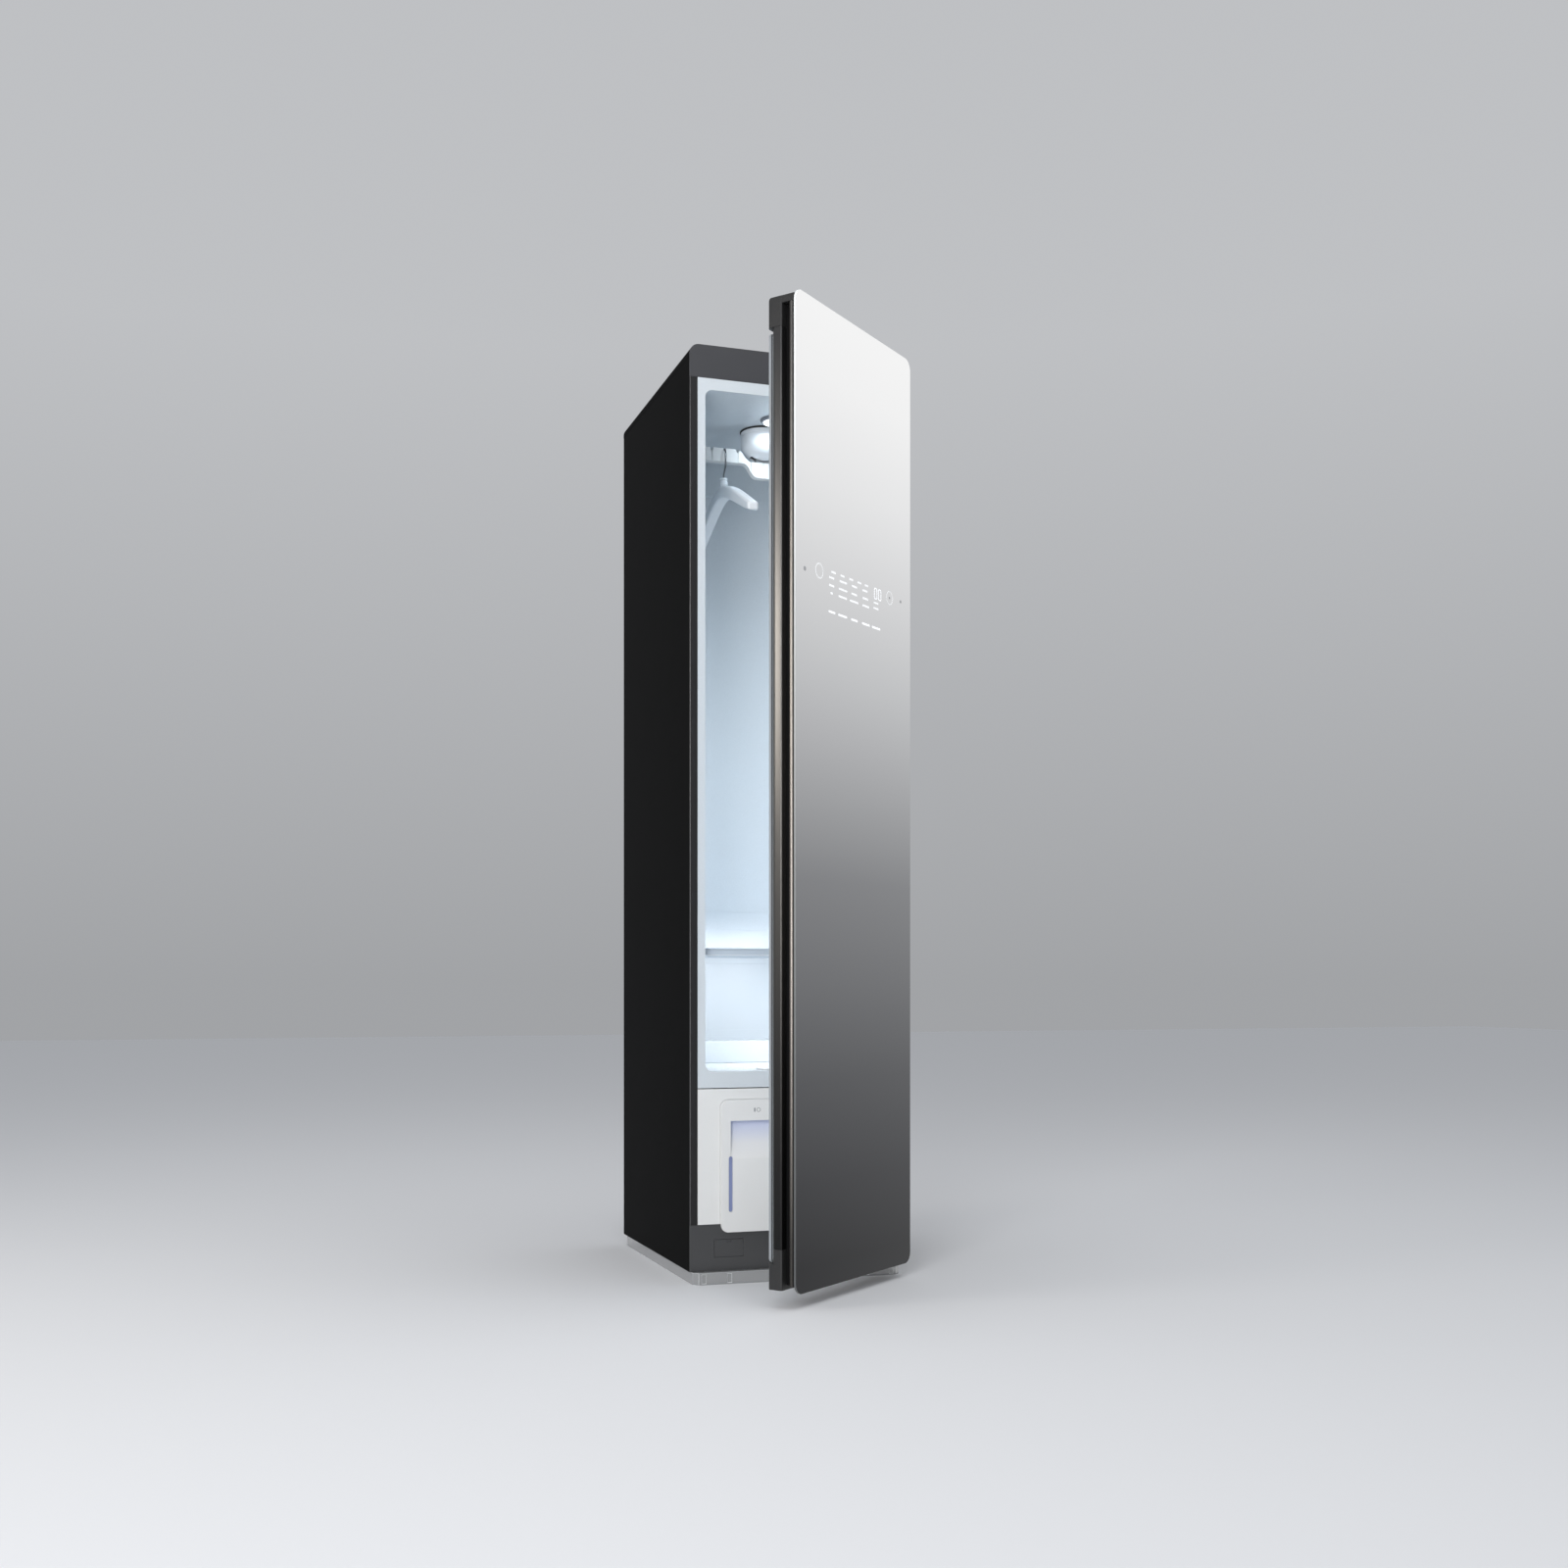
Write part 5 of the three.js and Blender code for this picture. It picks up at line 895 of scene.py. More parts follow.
class Cabin(Assembly):
    """The lined cabin with its shelf, outlet cover, lamp, dome and lint filter."""

    def build(self) -> None:
        """Builds every piece of the cabin."""
        for make in (self.liner, self.shelf, self.outlet, self.lamp, self.dome, self.filter):
            make()

    def liner(self) -> None:
        """Moulded liner with rounded corners, its ledges and a pressed band in the back wall."""
        half, wide, low, high, back = CABIN.half, CABIN.wall, CABIN.floor, CABIN.ceiling, CABIN.back
        front, r, gap = BODY.front, CABIN.corner, BODY.gap
        flange = block((-CABIN.flange, CABIN.flange), (front, front + wide),
                       (BODY.panel_top + gap, BODY.trim_bottom - gap))
        outer = rounded(-half - wide, half + wide, low - wide, high + wide, r + wide, 10)
        shape = prism(outer, Axis.Y, front, back + wide).join(flange)
        shape.cut(prism(rounded(-half, half, low, high, r, 10), Axis.Y, front - 1, back))
        for side in (-1, 1):
            x = tuple(sorted((side * (half + 1), side * 183.5)))
            shape.join(block(x, (-244, 156), (641, 647)))
        for x, z0, z1, deep in ((176, 712, 1690, 0.9), (170, 752, 1684, 1.8), (176, 486, 636, 1.2)):
            shape.cut(prism(rounded(-x, x, z0, z1, 26, 10), Axis.Y, back - 1, back + deep))
        z = (low - wide - 1, low + 1)
        shape.cut(block((-55, 55), (-235, -205), z), block((-37.5, 17.5), (97.8, 152.8), z))
        shape.cut(rod(7.3, z, (-125, 112, 0), Axis.Z, 24))
        z = through(high, high + wide)
        for y, radius in ((CABIN.lamp_y, 25.3), (CABIN.drive_y, 8.0)):
            shape.cut(rod(radius, z, (0, y, 0), Axis.Z, 40))
        self.piece("cabin_moulding", shape.bevel(0.9, 3, 50), "liner_plastic", LINER, "cabin_liner")

    def shelf(self) -> None:
        """Slotted shelf with a rolled front edge."""
        shape = block((-189.5, 189.5), (-246, 159), (647.3, CABIN.shelf_top))
        shape.cut(block((-185.5, 185.5), (-242, 155), (646, 658)))
        slot = prism(rounded(-4, 4, -150, 150, 3.9, 6), Axis.Z, 0, 12)
        shape.cut(slot.repeat(SHELF, (-148.4, -43.5, 655.0), 9, 37.1)).bevel(1.3, 3, 50)
        shape.cut(block((-188, 188), (-247, -245.2), (651.8, 660))).bare()
        # The underside and the bottom lip get the lighter copy of the shelf plastic: painted light.
        shape.paint(1, lambda centre, normal: normal.z < -0.5 or (centre.z < 651.9 and centre.y < -244.4))
        self.piece("shelf_tray", shape, "shelf_grey", (SHELF, SHELF_LIP_PAINTED_LIGHT), "shelf")

    def outlet(self) -> None:
        """Cover over the air outlet, with louvres in its slots."""
        r, grid = CABIN.corner, (13, 13.0)
        shape = prism(rounded(-189.5, 189.5, 418.3, 465, (r, r, 0, 0), 8), Axis.Y, 67, 186.7)
        shape.cut(block((-172, 172), (69.5, 184.2), (417, 462.5)))
        slot = prism(rounded(-3, 3, -37.8, 37.8, 2.9, 5), Axis.Z, 0, 8)
        shape.cut(slot.repeat(LINER, (-78.0, 131.2, 460.0), *grid)).bevel(1.2, 3, 50).bare()
        self.piece("outlet_moulding", shape, "liner_plastic", LINER, "outlet_cover")
        blade = prism([(-1.4, 0), (-0.6, 0), (1.6, 7.2), (0.8, 7.2)], Axis.Y, -36, 36)
        self.piece("outlet_louvres", blade.repeat(LINER, (-78.0, 131.2, 455.0), *grid), "liner_plastic", LINER)

    def lamp(self) -> None:
        """Round lamp: a stepped rim and a bulging lens."""
        z, centre, r = CABIN.ceiling - BODY.gap, (0, CABIN.lamp_y, 0), 24.9
        rim = [(25.2, z), (25.2, z - 5.6), (27.2, z - 5.6), (30.2, z - 3.4), (31, z - 1.8), (31, z)]
        self.piece("lamp_rim", lathe(rim, centre, Axis.Z, 64), "lamp_plastic", LAMP_RIM)
        bulge = [(r * math.cos(a), z - 5.6 - 5.3 * math.sin(a)) for a in (math.pi * k / 20 for k in range(1, 10))]
        lens = [(0, z + 12), (r, z + 12), (r, z - 5.6), *bulge, (0, z - 10.9)]
        self.piece("lamp_lens", lathe(lens, centre, Axis.Z, 64), "lamp_plastic", LAMP, "ceiling_lamp")

    def dome(self) -> None:
        """Bowl under the shaker drive, with a collar line and the slot for the carriage neck."""
        top, low, r, thick, bowl, y = CABIN.ceiling - BODY.gap, 1699.2, 45.0, 2.5, 36.0, CABIN.drive_y
        turns = [math.pi / 2 * k / 16 for k in range(17)]
        profile = [(r * math.sin(a), low + bowl - bowl * math.cos(a)) for a in turns]
        profile += [(r, 1748), (r - 0.8, 1749), (r - 0.8, 1751), (r, 1752), (r, top), (r - thick, top)]
        profile += [((r - thick) * math.sin(a), low + bowl - (bowl - thick) * math.cos(a)) for a in reversed(turns)]
        shape = lathe(profile, (0, y, 0), Axis.Z, 72)
        shape.cut(prism(rounded(-26.7, 26.7, y - 8.2, y + 8.2, 3, 5), Axis.Z, low - 1, low + 18))
        self.piece("drive_bowl", shape, "white_plastic", GLOSS_WHITE, "drive_dome")
        # A dark ring of black rubber where the bowl meets the ceiling, standing for painted shade.
        shade_ring = [(45.1, 1758.6), (46.4, 1758.9), (47.2, 1760.2), (47.2, top), (45.1, top)]
        self.piece("bowl_seal", lathe(shade_ring, (0, y, 0), Axis.Z, 72), "rubber", RUBBER)

    def filter(self) -> None:
        """Lint filter cassette with its flat rim, mesh window and handle."""
        y, body = -220.0, "filter"
        shape = block((-54.7, 54.7), (y - 14.7, y + 14.7), (374, 420))
        shape.cut(block((-51.7, 51.7), (y - 16, y + 16), (377, 412.5)))
        shape.join(block((-53, 53), (y - 0.7, y + 0.7), (375.5, 415.5)),
                   prism(rounded(-62.7, 62.7, y - 22.7, y + 22.7, 4, 6), Axis.Z, 418.3, 420.8),
                   prism(rounded(-22, 22, 419, 432.8, (0, 0, 4, 4), 6), Axis.Y, y - 2.5, y + 2.5))
        self.piece("filter_cassette", shape.bevel(0.7, 2), "white_plastic", WHITE_PLASTIC, "lint_filter", body=body)
        thread = block((-0.25, 0.25), (-1.0, 1.0), (0, 34)).bevel(0.12, 2)
        thread.repeat(GREY_PLASTIC, (-50.0, y, 377.5), 34, 3.03)
        self.piece("filter_threads", thread, "grey_plastic", GREY_PLASTIC, body=body)


class Shaker(Assembly):
    """Shaker bar and the hanger that swings on it."""

    body = "shaker"

    def build(self) -> None:
        """Builds the bar, the hook and the hanger."""
        self.bar()
        self.hook()
        self.hanger()

    def bar(self) -> None:
        """Double-curved bar with saddle notches on top and grooves down its front."""
        high, low, dip, rise, step = CABIN.bar_top, CABIN.bar_top - 28, 1662.0, 1695.0, CABIN.notch_step
        outline = [(-46.0, low)] + sway((-46, low), (-12, dip)) + [(12.0, dip)] + sway((12, dip), (46, low))
        right = rounded(0, 165, low, high, (0, 6, 6, 0), 6)[:14]
        outline += right + [(60.0, high)] + sway((60, high), (26, rise))
        outline += [(-26.0, rise)] + sway((-26, rise), (-60, high)) + mirrored(right)
        y = (CABIN.drive_y - 8, CABIN.drive_y + 8)
        shape = prism(outline, Axis.Y, *y)
        for x in (side * index * step for side in (-1, 1) for index in (2, 3, 4)):
            shape.cut(prism(rounded(x - 3, x + 3, high - 6, high + 2, (2.2, 2.2, 0, 0), 5), Axis.Y, *through(*y)))
        for x in (index * step for index in range(-4, 5)):
            shape.cut(block((x - 1.8, x + 1.8), (y[0] - 1, y[0] + 2), (1660, 1720)))
        self.piece("bar_moulding", shape.bevel(1.1, 3, 40), "white_plastic", WHITE_PLASTIC, "shaker_bar")

    def hook(self) -> None:
        """Bent wire hook."""
        y, reach, foot, bend, rise, crown = CABIN.drive_y, 14, 1657.75, 1671.75, 1703.32, 1721.99
        front, back = y - reach, y + reach
        flat = [(y, 1646.0), (y, foot), *bezier((y, foot), (y, bend), (front, bend), (front, bend + 14))]
        flat += [(front, rise), *bezier((front, rise), (front, crown), (back, crown), (back, rise), 24)]
        flat += [(back, 1697.4), (back, 1696.4)]
        shape = tube([(CABIN.hook_x, u, v) for u, v in flat], 1.72, 16)
        self.piece("hook_wire", shape, "bright_steel", WIRE, "hanger_hook", body="hanger")

    def hanger(self) -> None:
        """Shouldered hanger with rounded edges, a ribbed neck and two collars."""
        x, y, tip = CABIN.hook_x, CABIN.drive_y, 199.9
        right = bezier((0, 1636), (50, 1636), (110, 1599.1), (tip, 1554), 24) + [(tip, 1537)]
        right += bezier((tip, 1537), (120, 1564.9), (50, 1610), (0, 1610), 24)
        outline = [(0.0, 1636.0), *right, *mirrored(right[:-1])]
        shape = prism([(y + u, v) for u, v in outline], Axis.X, x - 12, x + 12).bevel(5.5, 5, 40)
        neck = [(0, 1623), (8.9, 1623), (8.9, 1638), (7.4, 1639.5), (7.4, 1641), (8.9, 1642.5), (8.9, 1648),
                (7.2, 1649.5), (7.2, 1651), (8.2, 1652.5), (8.2, 1655.2), (7.4, 1656), (0, 1656)]
        shape.join(lathe(neck, (x, y, 0), Axis.Z, 40))
        shape.cut(rod(2.05, (1645.7, 1657), (x, y, 0), Axis.Z, 24))
        self.piece("hanger_moulding", shape, "white_plastic", GLOSS_WHITE, "hanger_body", body="hanger")


class TankFront(Assembly):
    """Front of one water tank: plate, scooped grip, level slit and its window."""

    def __init__(self, side: int, name: str) -> None:
        self.side, self.name, self.body = side, name, f"{name}_tank"
        self.x0 = -159.0 if side < 0 else -3.0
        self.x1 = self.x0 + TANK.width

    def build(self) -> None:
        """Builds the front, the window behind its slit and its printed mark."""
        t, x0, x1, name = TANK, self.x0, self.x1, self.name
        g0, g1, deep = x0 + t.grip_side, x1 - t.grip_side, t.front + t.grip_depth
        shape = prism(rounded(x0, x1, t.bottom, t.top, t.corner, 12), Axis.Y, t.front, t.back)
        shape.join(block((g0 - 2, g1 + 2), (t.front + 3, t.pocket_back), (t.pocket_bottom, t.grip_top + 2)))
        scoop = [(t.front - 1, t.grip_top), (deep - 1.5, t.grip_top), (deep, t.grip_top - 1.5),
                 (deep, t.grip_top - t.grip_depth + 2)]
        scoop += bezier(scoop[-1], (deep, 290), (t.front + 5, 265), (t.front, t.grip_bottom), 16)
        shape.cut(prism([*scoop, (t.front - 1, t.grip_bottom)], Axis.X, g0, g1))
        s0 = x0 + t.slit_side if self.side < 0 else x1 - t.slit_side - t.slit_width
        s1 = s0 + t.slit_width
        shape.cut(prism(rounded(s0, s1, 140, 250, 4.2, 8), Axis.Y, *through(t.front, t.pocket_back)))
        shape.bevel(0.8, 3, 40)
        shape.paint(1, lambda centre, normal: t.front + 0.5 < centre.y < deep + 0.1
                    and g0 - 0.1 < centre.x < g1 + 0.1 and t.grip_bottom < centre.z < t.grip_top + 0.1)
        self.piece(f"{name}_front_moulding", shape, "white_plastic", (WHITE_PLASTIC, SCOOP), f"{name}_tank_front")
        window = prism(rounded(s0 + 0.3, s1 - 0.3, 140.3, 249.7, 3.9, 8), Axis.Y, -271.5, -262.0)
        self.piece(f"{name}_level_window", window.bevel(0.4, 2, 40), "tub_plastic", WINDOW)
        self.mark()

    def mark(self) -> None:
        """Generic ring and line mark printed above the grip."""
        x, z, front = (self.x0 + self.x1) / 2, TANK.mark_z, TANK.front
        y = (front - 0.12, front + 0.2)
        ring = prism(rounded(x - 4.2, x + 4.2, z - 4.2, z + 4.2, 4.1, 10), Axis.Y, *y)
        ring.cut(prism(rounded(x - 3.2, x + 3.2, z - 3.2, z + 3.2, 3.1, 10), Axis.Y, *through(front, front)))
        ring.join(prism(rounded(x - 9.5, x - 6.5, z - 4, z + 4, 1.2, 4), Axis.Y, *y))
        self.piece(f"{self.name}_front_mark", ring, "white_plastic", MARK)


class Door(Assembly):
    """Mirror door, drawn closed and turned to the angle at which it stands ajar."""

    body = "door"

    def place(self, mesh: bpy.types.Mesh) -> None:
        """Turns a mesh that is drawn closed about the hinge pins, then scales it."""
        pin = Vector((BODY.pin_x, BODY.pin_y, 0))
        turn = Matrix.Rotation(math.radians(BODY.door_angle), 4, "Z")
        mesh.transform(Matrix.Translation(pin) @ turn @ Matrix.Translation(-pin))
        super().place(mesh)

    def relief(self) -> Shape:
        """What would strike the cabinet as the door turns about its pins."""
        corner = block((BODY.pin_x, BODY.half + 2), (BODY.pin_y, BODY.front + 2), (0, 1860))
        return corner.cut(rod(BODY.swing - 0.1, (-5, 1865), (BODY.pin_x, BODY.pin_y, 0), Axis.Z, 96))

    def build(self) -> None:
        """Builds every piece of the door."""
        for make in (self.glass, self.strip, self.frame, self.top_cap, self.bottom_cap, self.liner, self.gasket):
            make()
        DoorMarks().build()

    def glass(self) -> None:
        """Mirror glass with a polished edge."""
        d, half = DOOR, BODY.half
        outline = rounded(-half, half, d.glass_bottom, BODY.height, d.glass_corner, 16)
        shape = prism(outline, Axis.Y, d.front, d.front + d.glass).bevel(0.7, 3, 40)
        # The pane carries the mirror's painted reflection and its edge faces the edge's painted reflection, both
        # following the height.
        shape.paint(1, lambda centre, normal: abs(normal.y) < 0.98)
        self.piece("mirror_pane", shape, "mirror_glass", (MIRROR_PAINTED_REFLECTION, GLASS_EDGE_PAINTED_REFLECTION), "door_glass")

    def strip(self) -> None:
        """Metal strip round the door behind the glass."""
        d, half = DOOR, BODY.half - 1
        y, w = (d.front + d.strip_start, d.front + d.strip_end), d.strip_width
        shape = prism(rounded(-half, half, *y, 3.9, 8), Axis.Z, d.layer_bottom, d.layer_top)
        shape.cut(block((-half + w, half - w), through(*y), (d.layer_bottom + w, d.layer_top - w)))
        # Its metal carries a painted highlight that follows the height.
        self.piece("metal_strip", shape.bevel(0.5, 2, 50), "champagne_metal", CHAMPAGNE_PAINTED_HIGHLIGHT, "door_strip")

    def edge(self, y0: float, y1: float, front: float = 3, back: float = 9) -> list[Point]:
        """Outline of the door's edge seen from above, tight in front and rounder at the back."""
        return rounded(-BODY.half, BODY.half, y0, y1, (front, front, back, back), 12)

    def frame(self) -> None:
        """Convex edge body of the door."""
        d, gap = DOOR, BODY.gap
        y = (d.front + d.frame_start, d.back)
        shape = prism(self.edge(*y), Axis.Z, d.frame_bottom, d.frame_top)
        inner = (-d.liner_half - gap, d.liner_half + gap)
        shape.cut(block(inner, through(*y), (d.liner_bottom - gap, d.liner_top + gap)), self.relief())
        # Its satin metal carries a painted highlight that follows the height.
        self.piece("edge_body", shape.bevel(0.35, 2, 50), "satin_metal", SATIN_PAINTED_HIGHLIGHT, "door_frame")

    def top_cap(self) -> None:
        """Top cap of the door's edge, rounded by its three outlines."""
        d, half, low, top = DOOR, BODY.half, DOOR.cap_low, DOOR.cap_top
        y0, y1 = d.front + d.frame_start, d.back + d.cap_reach
        shape = prism(rounded(-half, half, y0, y1, (3, 0, 8, 8), 12), Axis.Z, low, top)
        shape.meet(prism(rounded(y0, y1, low, top, (0, 0, 12, 3), 10), Axis.X, *through(-half, half)),
                   prism(rounded(-half, half, low - 1, top, (0, 0, 0, 2.5), 8), Axis.Y, *through(y0, y1)))
        shape.join(block((-half + 1.5, 150), (d.front + d.glass + 0.8, y0 + 6), (d.layer_top + 0.4, top - 0.5)))
        shape.cut(block((150.5, half + 1), through(y0, y1), (1828, 1842)), self.relief())
        self.piece("top_cap", shape, "cap_plastic", CAP, "door_cap_top")

    def bottom_cap(self) -> None:
        """Bottom cap of the door's edge."""
        d, half, low = DOOR, BODY.half, 34
        y0, y1 = d.front + d.frame_start, d.back + d.cap_reach
        shape = prism(self.edge(y0, d.back), Axis.Z, low, 108)
        shape.join(prism(self.edge(y0 + 9, y1, 0, 8), Axis.Z, low, 81.7))
        shape.cut(block((150.5, half + 1), through(y0, y1), (0, d.layer_bottom)), self.relief())
        self.piece("bottom_cap", shape.bevel(2.0, 4, 40), "cap_plastic", CAP, "door_cap_bottom")

    def liner(self) -> None:
        """Inner skin of the door with its raised field."""
        d, back = DOOR, DOOR.back
        skin = block((-d.liner_half, d.liner_half), (back - 2.5, back), (d.liner_bottom, d.liner_top))
        skin.join(prism(rounded(-185.2, 185.2, 387, 1753, 14, 10), Axis.Y, back - 2.5, back + 7))
        skin.cut(prism(rounded(-182.7, 182.7, 389.5, 1750.5, 11.5, 8), Axis.Y, back - 4, back + 4.5),
                 prism(rounded(-162, 162, 412, 1728, 24, 10), Axis.Y, back + 5.6, back + 8))
        self.piece("inner_skin", skin.bevel(1.1, 3, 50), "liner_plastic", LINER, "door_liner")

    def ring(self, inset: float, y0: float, y1: float) -> Shape:
        """One layer of the gasket: two loops that share a cross bar.

        Args:
            inset: how much narrower each limb is on both sides.
            y0, y1: its front and back.

        Returns:
            The layer.
        """
        outer, inner = 212.0 - inset, 199.0 + inset
        shape = prism(rounded(-outer, outer, 82 + inset, 1781 - inset, 8, 10), Axis.Y, y0, y1)
        for z0, z1 in ((95 - inset, 363 + inset), (376 - inset, 1768 + inset)):
            shape.cut(prism(rounded(-inner, inner, z0, z1, 4, 6), Axis.Y, *through(y0, y1)))
        return shape

    def gasket(self) -> None:
        """Bellows gasket: a foot, a narrow neck and a soft lip."""
        shape = self.ring(0.6, -279.7, -276.3).join(self.ring(4.2, -276.5, -272.9), self.ring(0.0, -273.1, -268.4))
        shape.cut(self.relief()).bevel(1.1, 3, 50)
        # The sides of the neck get the darker copy of the rubber: painted shade.
        shape.paint(1, lambda centre, normal: -276.4 < centre.y < -273.0 and abs(normal.y) < 0.5)
        self.piece("bellows_gasket", shape, "gasket_rubber", (GASKET, GASKET_FOLD_PAINTED_SHADE), "door_gasket")


class DoorMarks(Door):
    """Marks printed on the glass: rings, dots, bars and plain figures."""

    depth = (-332.08, -331.9)

    def build(self) -> None:
        """Builds the marks, one piece for each strength of print."""
        for name, shapes, finish in (("lit_marks", self.lit(), LIT_MARK), ("faint_marks", self.faint(), FAINT_MARK),
                                     ("rings", self.rings(), RING_MARK), ("dots", self.dots(), DOT_MARK)):
            bm = bmesh.new()
            for shape in shapes:
                bm.from_mesh(shape.object.data)
                shape.drop()
            self.piece(f"glass_{name}", Shape(bm), "mirror_glass", finish)

    def bar(self, x0: float, x1: float, z: float, height: float) -> Shape:
        """One short bar with rounded ends."""
        return prism(rounded(x0, x1, z - height / 2, z + height / 2, height * 0.45, 4), Axis.Y, *self.depth)

    def circle(self, x: float, z: float, radius: float, thin: float) -> Shape:
        """A ring of that outer radius and line width, or a dot where the width is the radius."""
        if thin >= radius:
            return rod(radius, self.depth, (x, 0, z), Axis.Y)
        y0, y1 = self.depth
        profile = [(radius, y0), (radius, y1), (radius - thin, y1), (radius - thin, y0)]
        return lathe(profile, (x, 0, z), Axis.Y)

    def nought(self, x: float, z: float, width: float, height: float) -> Shape:
        """Plain nought drawn as a thin loop, from its lower left corner."""
        shape = prism(rounded(x, x + width, z, z + height, 4, 6), Axis.Y, *self.depth)
        hole = rounded(x + 2, x + width - 2, z + 2, z + height - 2, 2.4, 6)
        return shape.cut(prism(hole, Axis.Y, *through(*self.depth)))

    def dots(self) -> list[Shape]:
        """The two dots beyond the rings and the one inside the right ring."""
        places = ((-190.6, 1347.2, 4.4), (180.5, 1355.8, 3.2), (134.0, 1354.5, 2.4))
        return [self.circle(x, z, radius, radius) for x, z, radius in places]

    def lit(self) -> list[Shape]:
        """The lower row and the figures."""
        row = ((-104.8, -80.4), (-68.3, -35.8), (-19.7, 5.5), (22.6, 53.2), (62.0, 95.7))
        return [*(self.bar(*ends, 1285.2, 4.0) for ends in row),
                *(self.nought(x, 1341.0, 12.0, 22.5) for x in (71.0, 87.5))]

    def faint(self) -> list[Shape]:
        """The rows of bars in the middle and the small bars under the figures."""
        rows = (
            (1360.5, 3.9, ((-95, -78), (-60, -45), (-27, -12), (5, 20), (34, 47))),
            (1349.3, 3.9, ((-103, -84), (-64, -36), (-17, 3), (24, 44))),
            (1334.5, 3.9, ((-103, -84), (-67, -35), (-19, 3), (25, 47))),
            (1320.3, 3.9, ((-98, -89), (-68, -36), (-24, 8), (24, 51))),
            (1334.0, 3.4, ((69, 88),)),
            (1323.4, 3.4, ((67.5, 88.5),)),
        )
        return [self.bar(*ends, z, height) for z, height, bars in rows for ends in bars]

    def rings(self) -> list[Shape]:
        """The ring at each end of the rows, the fainter ones."""
        return [self.circle(-138.4, 1353.5, 14.6, 2.6), self.circle(134.0, 1354.5, 13.6, 1.9)]


class HingeDetails(Assembly):
    """Screws of the lower hinge bracket."""

    def build(self) -> None:
        """Builds the screw heads on the bracket's leg."""
        head = lathe([(0, -1.3), (2.6, -1.2), (4.0, -0.5), (4.1, 0), (0, 0)], (0, 0, 0), Axis.Y, 28)
        head.cut(prism(rounded(-1.3, 1.3, -1.3, 1.3, 0.3, 3), Axis.Y, -2, -0.4))
        head.repeat(BRIGHT, (178.0, -264.45, 62.0), 2, 28.0, turn=1.0)
        self.piece("hinge_screws_lower", head, "bright_steel", BRIGHT)


class CadFinishes:
    """Gives every CAD node that is still shown its procedural finish."""

    def build(self) -> None:
        """Assigns a material to each CAD node from its record slot."""
        slots = {part["node"]: part["material_slot"] for part in frame["record"]["subparts"]}
        for name, node in frame["nodes"].items():
            finish = SLOT_FINISHES[slots[name]]
            node.data.materials.clear()
            node.data.materials.append(MaterialShop.get(finish))
            log.info("%s: %s", name, finish.name)


# Studio


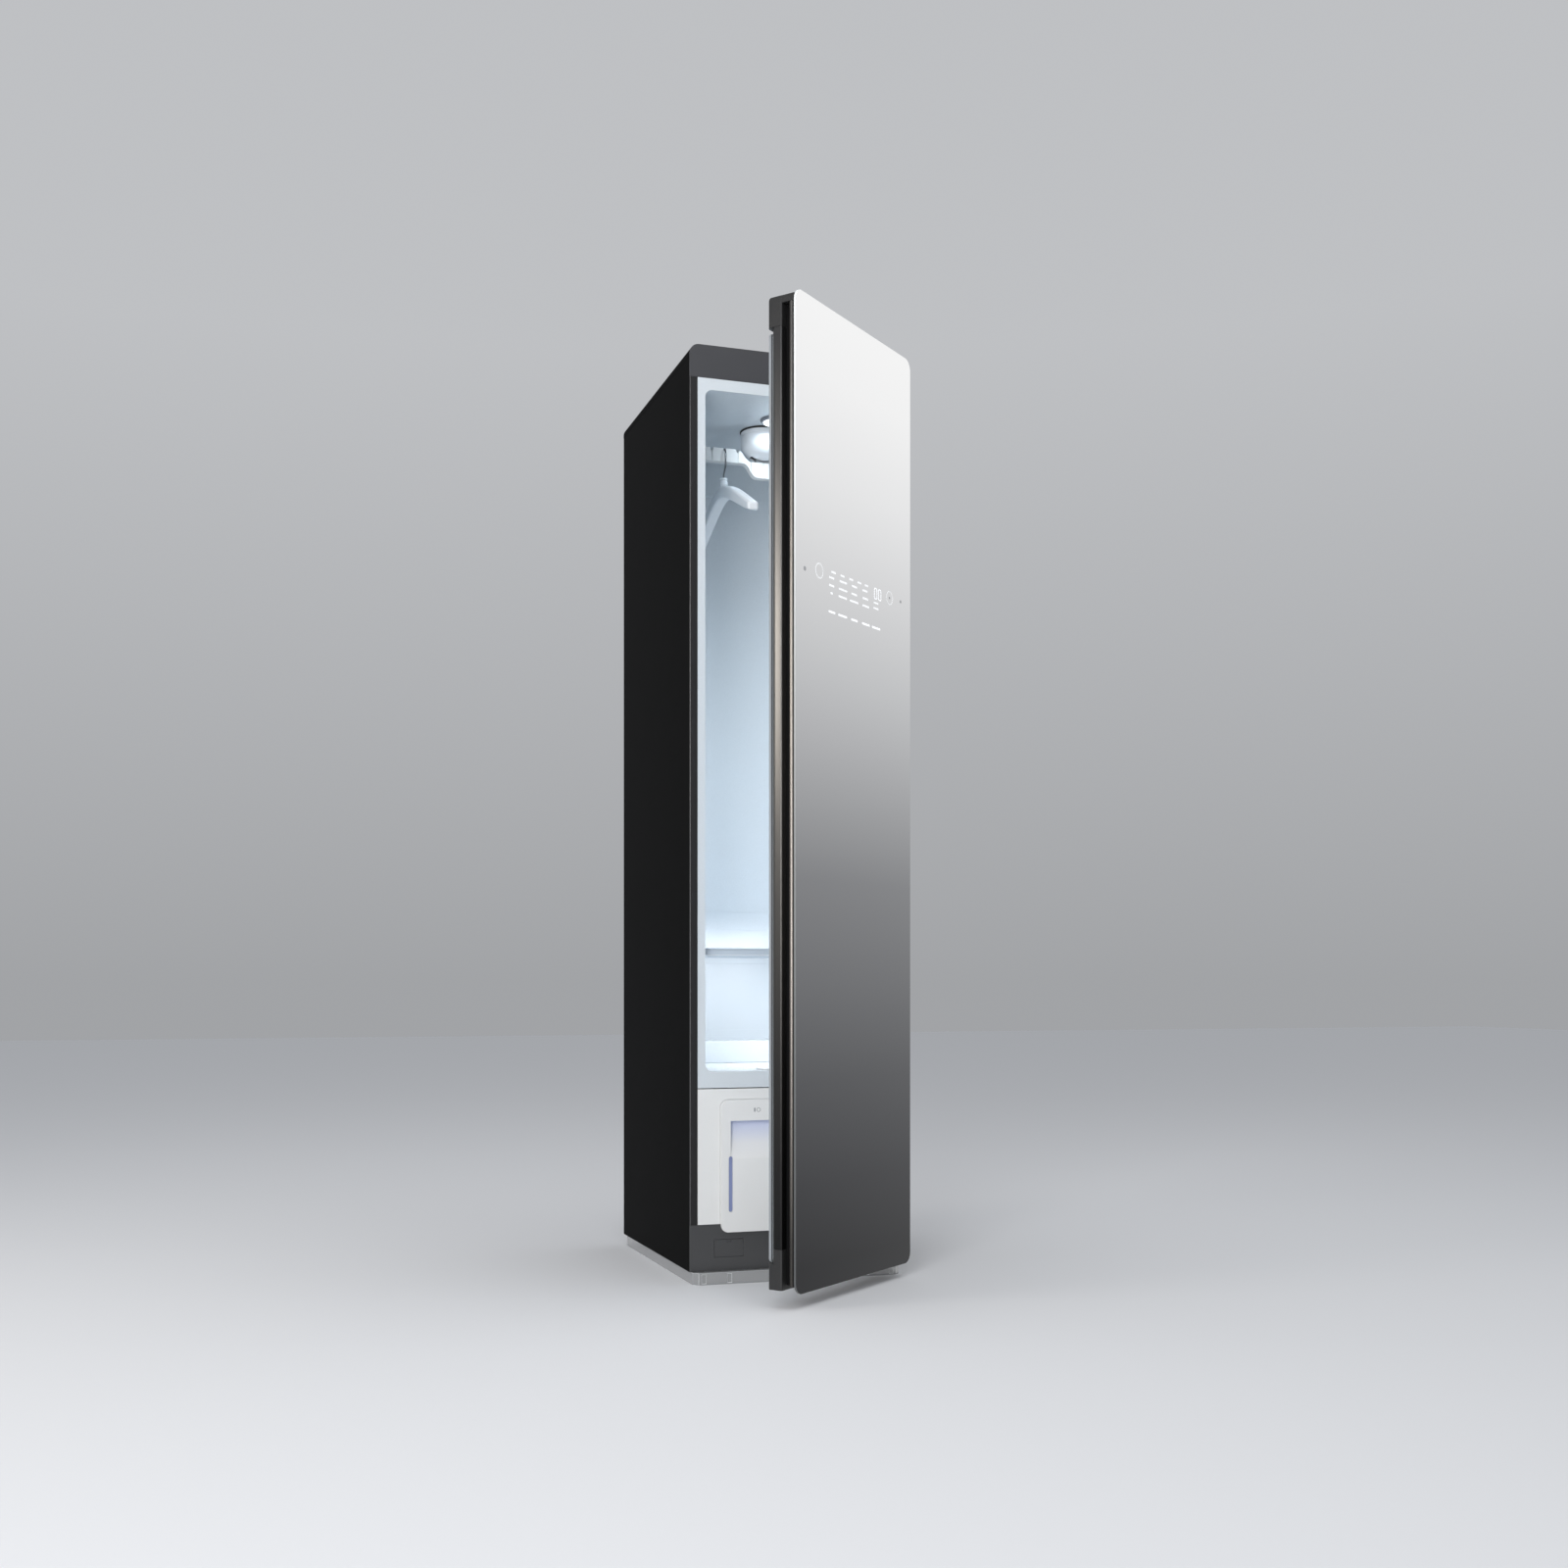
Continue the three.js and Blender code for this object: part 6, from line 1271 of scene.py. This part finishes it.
class Studio:
    """Floor, surroundings, reflected card, lights and camera."""

    def build(self) -> None:
        """Builds the whole stage."""
        bpy.context.scene.view_settings.view_transform = "Standard"
        for make in (self.world, self.floor, self.card, self.lights, self.camera):
            make()

    def world(self) -> None:
        """Light grey surroundings that meet the far floor in the same tone."""
        world = bpy.data.worlds.new("studio")
        world.use_nodes = True
        graph = Graph(world.node_tree)
        place = graph.add("ShaderNodeSeparateXYZ", {0: graph.add("ShaderNodeTexCoord").outputs["Generated"]})
        ramp = graph.add("ShaderNodeValToRGB", {"Fac": place.outputs["Z"]})
        low, high = ramp.color_ramp.elements
        low.position, high.position = 0.0, 0.35
        low.color, high.color = (0.36, 0.368, 0.382, 1.0), (0.52, 0.53, 0.548, 1.0)
        graph.feed(graph.tree.nodes["Background"], {"Color": ramp})
        bpy.context.scene.world = world

    def floor(self) -> None:
        """Plain pale floor."""
        bm = bmesh.new()
        bmesh.ops.create_grid(bm, x_segments=1, y_segments=1, size=0.5)
        plane = add_object("studio_floor", mesh_of("studio_floor", bm))
        plane.scale = (30, 30, 1)
        plane.data.materials.append(MaterialShop.get(STAGE))

    def card(self) -> None:
        """Bright swept card on the right, which only reflections show."""
        material = bpy.data.materials.new("bright_card")
        material.use_nodes = True
        material.node_tree.nodes.clear()
        graph = Graph(material.node_tree)
        glow = graph.add("ShaderNodeEmission", {"Color": (1.0, 1.0, 1.0, 1.0), "Strength": 1.0})
        graph.add("ShaderNodeOutputMaterial", {0: glow})
        near, far, low = 3.2, 4.6, 0.003
        sweep = [(-0.2, low), (near, low), *bezier((near, low), (4.0, low), (far, 0.6), (far, 1.4)), (far, 5.5)]
        bm = bmesh.new()
        one, two = ([bm.verts.new((x, y, z)) for x, z in sweep] for y in (-3.4, 4.0))
        for i in range(len(sweep) - 1):
            bm.faces.new((one[i], one[i + 1], two[i + 1], two[i]))
        card = add_object("bright_card", mesh_of("bright_card", bm))
        card.data.materials.append(material)
        card.visible_camera = card.visible_diffuse = card.visible_shadow = card.visible_transmission = False

    def light(self, name: str, place: Place, aim: Place, size: Point, power: float, colour: Colour) -> None:
        """Adds a rectangular soft light.

        Args:
            name: its name.
            place: where it stands.
            aim: the point that it faces.
            size: its width and height.
            power: its power in watts.
            colour: its colour.
        """
        data = bpy.data.lights.new(name, "AREA")
        data.shape, data.energy, data.color = "RECTANGLE", power, colour
        data.size, data.size_y = size
        lamp = add_object(name, data)
        lamp.location = place
        lamp.rotation_euler = (Vector(aim) - Vector(place)).to_track_quat("-Z", "Y").to_euler()

    def lights(self) -> None:
        """Soft key from the front left, one from above, a warm one on the door's edge and three in the cabin."""
        white, warm, cool = (1.0, 1.0, 1.0), (1.0, 0.94, 0.88), (0.9, 0.955, 1.0)
        self.light("key", (-2.6, -4.2, 1.7), (0, 0, 0.9), (1.6, 3.2), 120, white)
        self.light("top", (0.3, -1.2, 4.2), (0, 0, 1.0), (3.0, 3.0), 45, white)
        self.light("edge", (-3.3, -0.75, 1.85), (-0.1, -0.55, 1.2), (0.9, 0.8), 19, warm)
        self.light("cabin", (0.0, -0.138, 1.745), (0.0, -0.1, 1.0), (0.045, 0.045), 0.2, (0.74, 0.89, 1.0))
        self.light("cabin_strip", (-0.15, -0.255, 1.0), (0.15, 0.187, 0.96), (0.02, 0.56), 1.15, cool)
        self.light("cabin_low", (0.0, -0.05, 0.64), (0.0, 0.05, 0.42), (0.3, 0.3), 1.15, (0.97, 0.98, 1.0))

    def camera(self) -> None:
        """Camera at the photo's viewing angle."""
        data = bpy.data.cameras.new("camera")
        data.sensor_width, data.lens = VIEW.sensor, VIEW.lens
        data.shift_x, data.shift_y = VIEW.shift
        data.dof.use_dof = False
        camera = add_object("camera", data)
        camera.location = VIEW.place
        camera.rotation_euler = (math.radians(90), 0, math.radians(VIEW.turn))
        bpy.context.scene.camera = camera


def main() -> None:
    """Builds the looks in order."""
    tanks = TankFront(-1, "supply"), TankFront(1, "waste")
    for part in (CadFinishes(), Casing(), Cabin(), Shaker(), *tanks, Door(), HingeDetails(), Studio()):
        part.build()


if __name__ == "__main__":
    main()
